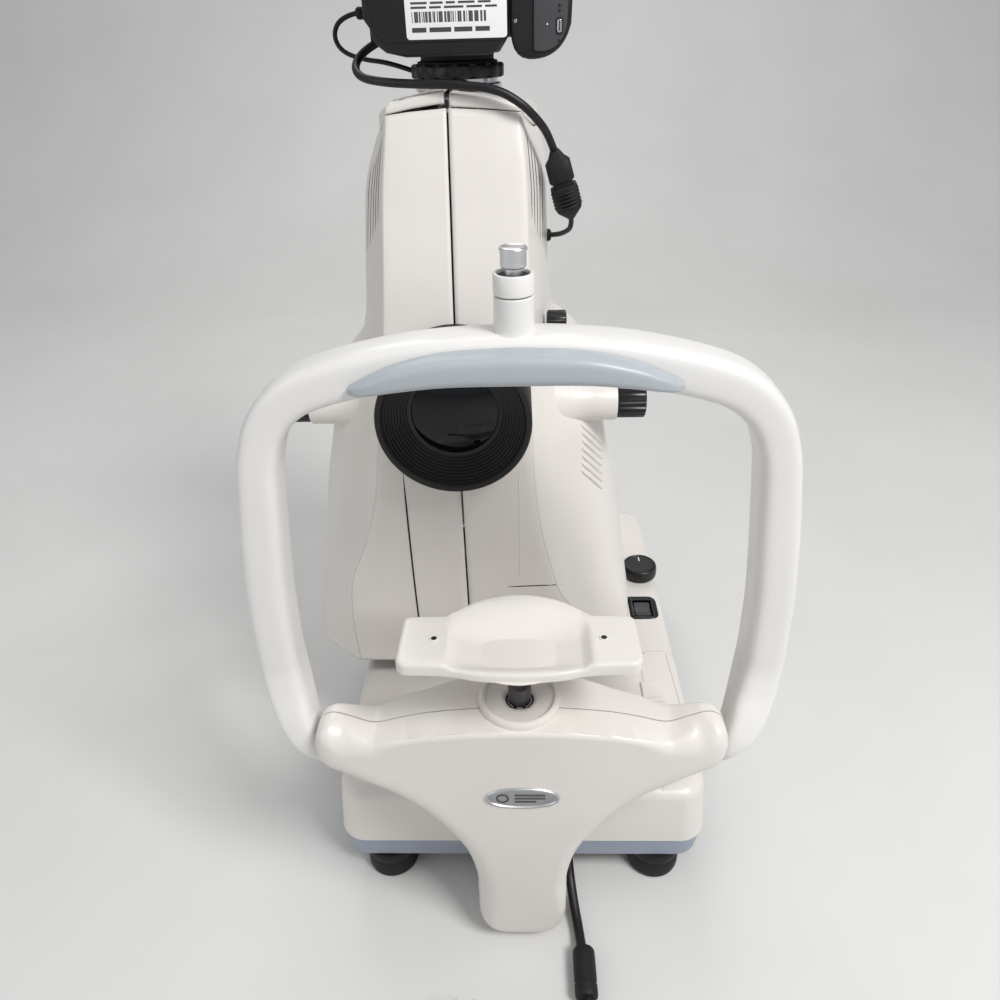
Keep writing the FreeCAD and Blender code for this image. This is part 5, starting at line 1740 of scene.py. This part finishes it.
def make_console():
    """The operator's console with the joystick's well and its trim."""
    low, high = span("console_cover")
    outline = dense(rounded_box_outline(low.x, high.x, low.y, high.y, 22, 10), 6)

    def level(x, y, gap):
        slope = 5 * ease(y, high.y - 45, high.y)
        return high.z - slope - quarter(gap, 9, 8)

    joint = [(HEAD - 62 + step * 4, 158) for step in range(32)]
    cover = relief("console_cover", "XY", outline, level, low.z, IVORY, insets=(0.5, 1.4, 2.6, 4.2, 6.2, 9),
                   pitch=8, grooves=[joint], groove=(0.4, 0.8), holes=[(arc(STICK, 22, 0, 352, 44), 7)])
    trim = lathe("stick_trim", "Z", (*STICK, 0), [
        (18.6, 137.4), (18.8, 140.6), (20, 141.6), (21.4, 141.6), (22, 140.8), (22, 134)], DARK_GREY, 72)
    place(merged("console_cover", [cover, trim]), "stage", "ivory", "console_cover")


def make_joystick():
    """The joystick on its ball, with the height ring round it and the capture button on top."""
    profile = [(0.01, 125.6), (4.4, 126.8), (7.4, 129.8), (8.4, 133.4), (8.2, 136.6), (6.4, 140),
               (5, 142.4), (5, 151), (9.5, 151), (12.2, 152.2), (12.9, 154), (12.9, 168.4)]
    for rib in range(7):
        z = 171 + rib * 4.1
        profile += [(12.4, z), (12.9, z + 0.6), (12.9, z + 2.6), (12.4, z + 3.2)]
    profile += [(12.6, 202), (12.9, 210), (12.7, 220), (11.6, 226), (9.8, 228), (7.4, 228), (6.9, 227.4),
                (6.8, 219), (0.01, 218.8)]
    grip = lathe("joystick_grip", "Z", (*STICK, 0), profile, GRIP, 72)
    pin = rod("tilt_pin", "Y", (STICK[0], 0, 134), 1.5, 200, 230, STEEL, 0.3, 24)
    place(merged("joystick", [grip, pin]), "joystick", "black_plastic", "joystick_stick")
    ring = hollow_ring("height_ring", STICK, 13.3, 19, 153, 168, 28, 0.9, RUBBER)
    place(ring, "height_ring", "rubber", "height_ring")
    button_line = [(3, 222), (6.1, 222), (6.2, 229.4), (5.9, 230.4), (5, 230.9), (3.4, 230.6), (0.01, 230.3)]
    button = lathe("capture_button", "Z", (*STICK, 0), button_line, DARK_GREY, 56)
    place(button, "capture_button", "black_plastic", "capture_button")


def make_monitor():
    """The operator's screen, hung from a pin at its upper edge."""
    half, low, top = 82, 232, 352
    rear = slab("monitor_back", "XZ", box_at_head(0.6 - half, half - 0.6, low + 0.6, top - 0.6, 8, 6),
                140, 153, IVORY, 3, 4)
    face = relief("monitor_bezel", "XZ", dense(box_at_head(-half, half, low, top, 8, 7), 6),
                  lambda x, z, gap: 158 - quarter(gap, 3, 2.6), 152.6, DARK_GREY, insets=(0.4, 1.1, 2, 3),
                  pitch=12, holes=[(box_at_head(11 - half, half - 11, low + 20, top - 9, 2, 3), 1.6)])
    glass_line = box_at_head(10.6 - half, half - 10.6, low + 19.6, top - 8.6, 2, 3)
    glass = slab("screen", "XZ", glass_line, 154, 156.9, SCREEN, 0.2)
    keys = [slab("key", "XZ", box_at_head(x - 6, x + 6, low + 6.5, low + 12.5, 2.4, 5), 157, 157.8,
                 IVORY_COOL, 0.5)
            for x in range(-40, 41, 20)]
    # Painted shade: thin black slabs on the back stand in for the dark insides of the vent slots.
    slots = [slab("vent", "XZ", box_at_head(-26, 26, z, z + 2, 0.9, 3), 139.8, 141, BLACK_SOFT, 0.1)
             for z in range(top - 18, top - 49, -5)]
    arm = chunk("monitor_arm", (HEAD - 29, HEAD + 29), (131, 141), (341, 349), IVORY, 2.2)
    knuckles = [rod("knuckle", "X", (0, 132, 345), 6.6, HEAD + a, HEAD + b, IVORY, 1, 48)
                for a, b in ((-31, -12), (12, 31))]
    pin = rod("hinge_pin", "X", (0, 132, 345), 3.9, HEAD - 37, HEAD + 37, STEEL, 0.5, 40)
    place(merged("monitor", [rear, face, glass, arm, pin] + keys + slots + knuckles), "monitor", "screen",
          "monitor")


QUADRANTS = ((-1, -1), (1, -1), (1, 1), (-1, 1))


def motor_plate(low, high, inset, material):
    """A square slice of the lift motor with cut corners, between two heights."""
    centre = middle("lift_motor")
    size = span("lift_motor")[1].x - centre.x - inset
    line = []
    for sx, sy in QUADRANTS:
        corner = [(centre.x + sx * size, centre.y + sy * (size - 5)),
                  (centre.x + sx * (size - 5), centre.y + sy * size)]
        line += corner if sx * sy < 0 else corner[::-1]
    return slab("plate", "XY", line, low, high, material, 0.6)


def make_lift():
    """The lift motor with its end plates and screws, and the threaded lift screw."""
    low, high = span("lift_motor")
    x, y, _ = middle("lift_motor")
    pieces = [motor_plate(low.z, low.z + 9, 0, ALLOY), motor_plate(low.z + 9, high.z - 9, 0.8, BLACK),
              motor_plate(high.z - 9, high.z, 0, ALLOY)]
    pieces.append(lathe("pilot", "Z", (x, y, 0), [
        (7, high.z - 1), (11, high.z - 1), (11, high.z + 0.1), (7, high.z + 0.1)], STEEL, 48))
    for sx, sy in QUADRANTS:
        spot = (x + sx * 15.5, y + sy * 15.5, 0)
        pieces.append(rod("screw", "Z", spot, 2.6, high.z - 2, high.z + 0.15, STEEL, 0.4, 24))
    place(merged("lift_motor", pieces), "stage", "black_plastic", "lift_motor")
    low, high = span("lift_screw")
    profile = [(3, low.z), (9.4, low.z), (10, low.z + 0.6), (10, 176), (9.4, 176.6), (9.4, 177.4), (10, 178),
               (10, 181.4), (9.4, 182)]
    z = 183.0
    while z < high.z - 3:
        profile += [(4.9, z), (5.95, z + 0.9), (5.95, z + 1.7), (4.9, z + 2.6)]
        z += 3.2
    profile += [(5.6, high.z - 1), (4.8, high.z)]
    centre = middle("lift_screw")
    screw = lathe("lift_screw", "Z", (centre.x, centre.y, 0), profile, STEEL, 40)
    place(screw, "lift_screw", "steel", "lift_screw")


def make_bench():
    """The head's inner frame: a plate with lightening holes, guide sleeves, nut block, mast and lens rods."""
    holes = [(arc((HEAD + side * 36, y), 12, 0, 350, 28), 8) for side in (-1, 1) for y in (-50, 68)]
    pieces = [relief("bench_plate", "XY", dense(box_at_head(-66, 66, -88, 98, 10, 6), 8),
                     lambda x, y, gap: 326 - quarter(gap, 1, 0.8), 318, ALLOY, insets=(0.4, 1), pitch=14,
                     holes=holes)]
    sleeve = [(8.2, 200), (13, 200), (14, 201), (14, 218), (12.4, 219), (12.4, 303), (14, 304), (14, 318),
              (8.2, 318)]
    gusset = [(-92, 322), (-80, 322), (-88, 400), (-92, 400)]
    for side in (-1, 1):
        rib_x = HEAD + side * 22
        pieces.append(lathe("guide_sleeve", "Z", (HEAD + side * 60, 20, 0), sleeve, ALLOY, 48))
        pieces.append(slab("rib", "YZ", gusset, rib_x - 3, rib_x + 3, ALLOY, 0.8))
        pieces.append(rod("lens_rod", "Y", (rib_x, 0, BARREL_Z), 3, -91, -14, STEEL, 0.5, 32))
    pieces.append(chunk("nut_block", (HEAD - 50, HEAD + 50), (31, 59), (232, 258), ALLOY, 1.6))
    pieces.append(chunk("mast", (HEAD - 30, HEAD + 30), (16, 22), (326, 540), ALLOY, 1.2))
    place(merged("optical_bench", pieces), "head", "alloy", "optical_bench")


def dress(material, *nodes):
    """Give CAD nodes that keep their own shape a finished material."""
    for name in nodes:
        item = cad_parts[name]
        if not item.material_slots:
            item.data.materials.append(material)
        for slot in item.material_slots:
            slot.material = material


def dress_inner_parts():
    """Looks for the inner parts that keep the shape of their solids."""
    dress(ZINC, "base_plate", "chinrest_bracket")
    dress(STEEL, "stage_rails", "plate_screws", "lift_guides", "chin_screw")
    dress(ALLOY, "cross_carriage", "stage_deck", "focus_lens_carrier", "joystick_gimbal")
    dress(BLACK, "power_inlet", "chinrest_motor")
    dress(BOARD, "base_electronics")
    dress(GLASS, "fixed_optics")


make_mains_lead()
make_head_leads()
make_base_cover()
make_rocker()
make_lock_knob()
make_skirt()
make_feet()
make_head()
make_barrel()
make_head_knobs()
make_housing()
make_arch()
make_lamp()
make_pad()
make_chin_cup()
make_port()
make_photo_camera()
make_battery_door()
make_camera_controls()
make_console()
make_joystick()
make_monitor()
make_lift()
make_bench()
dress_inner_parts()
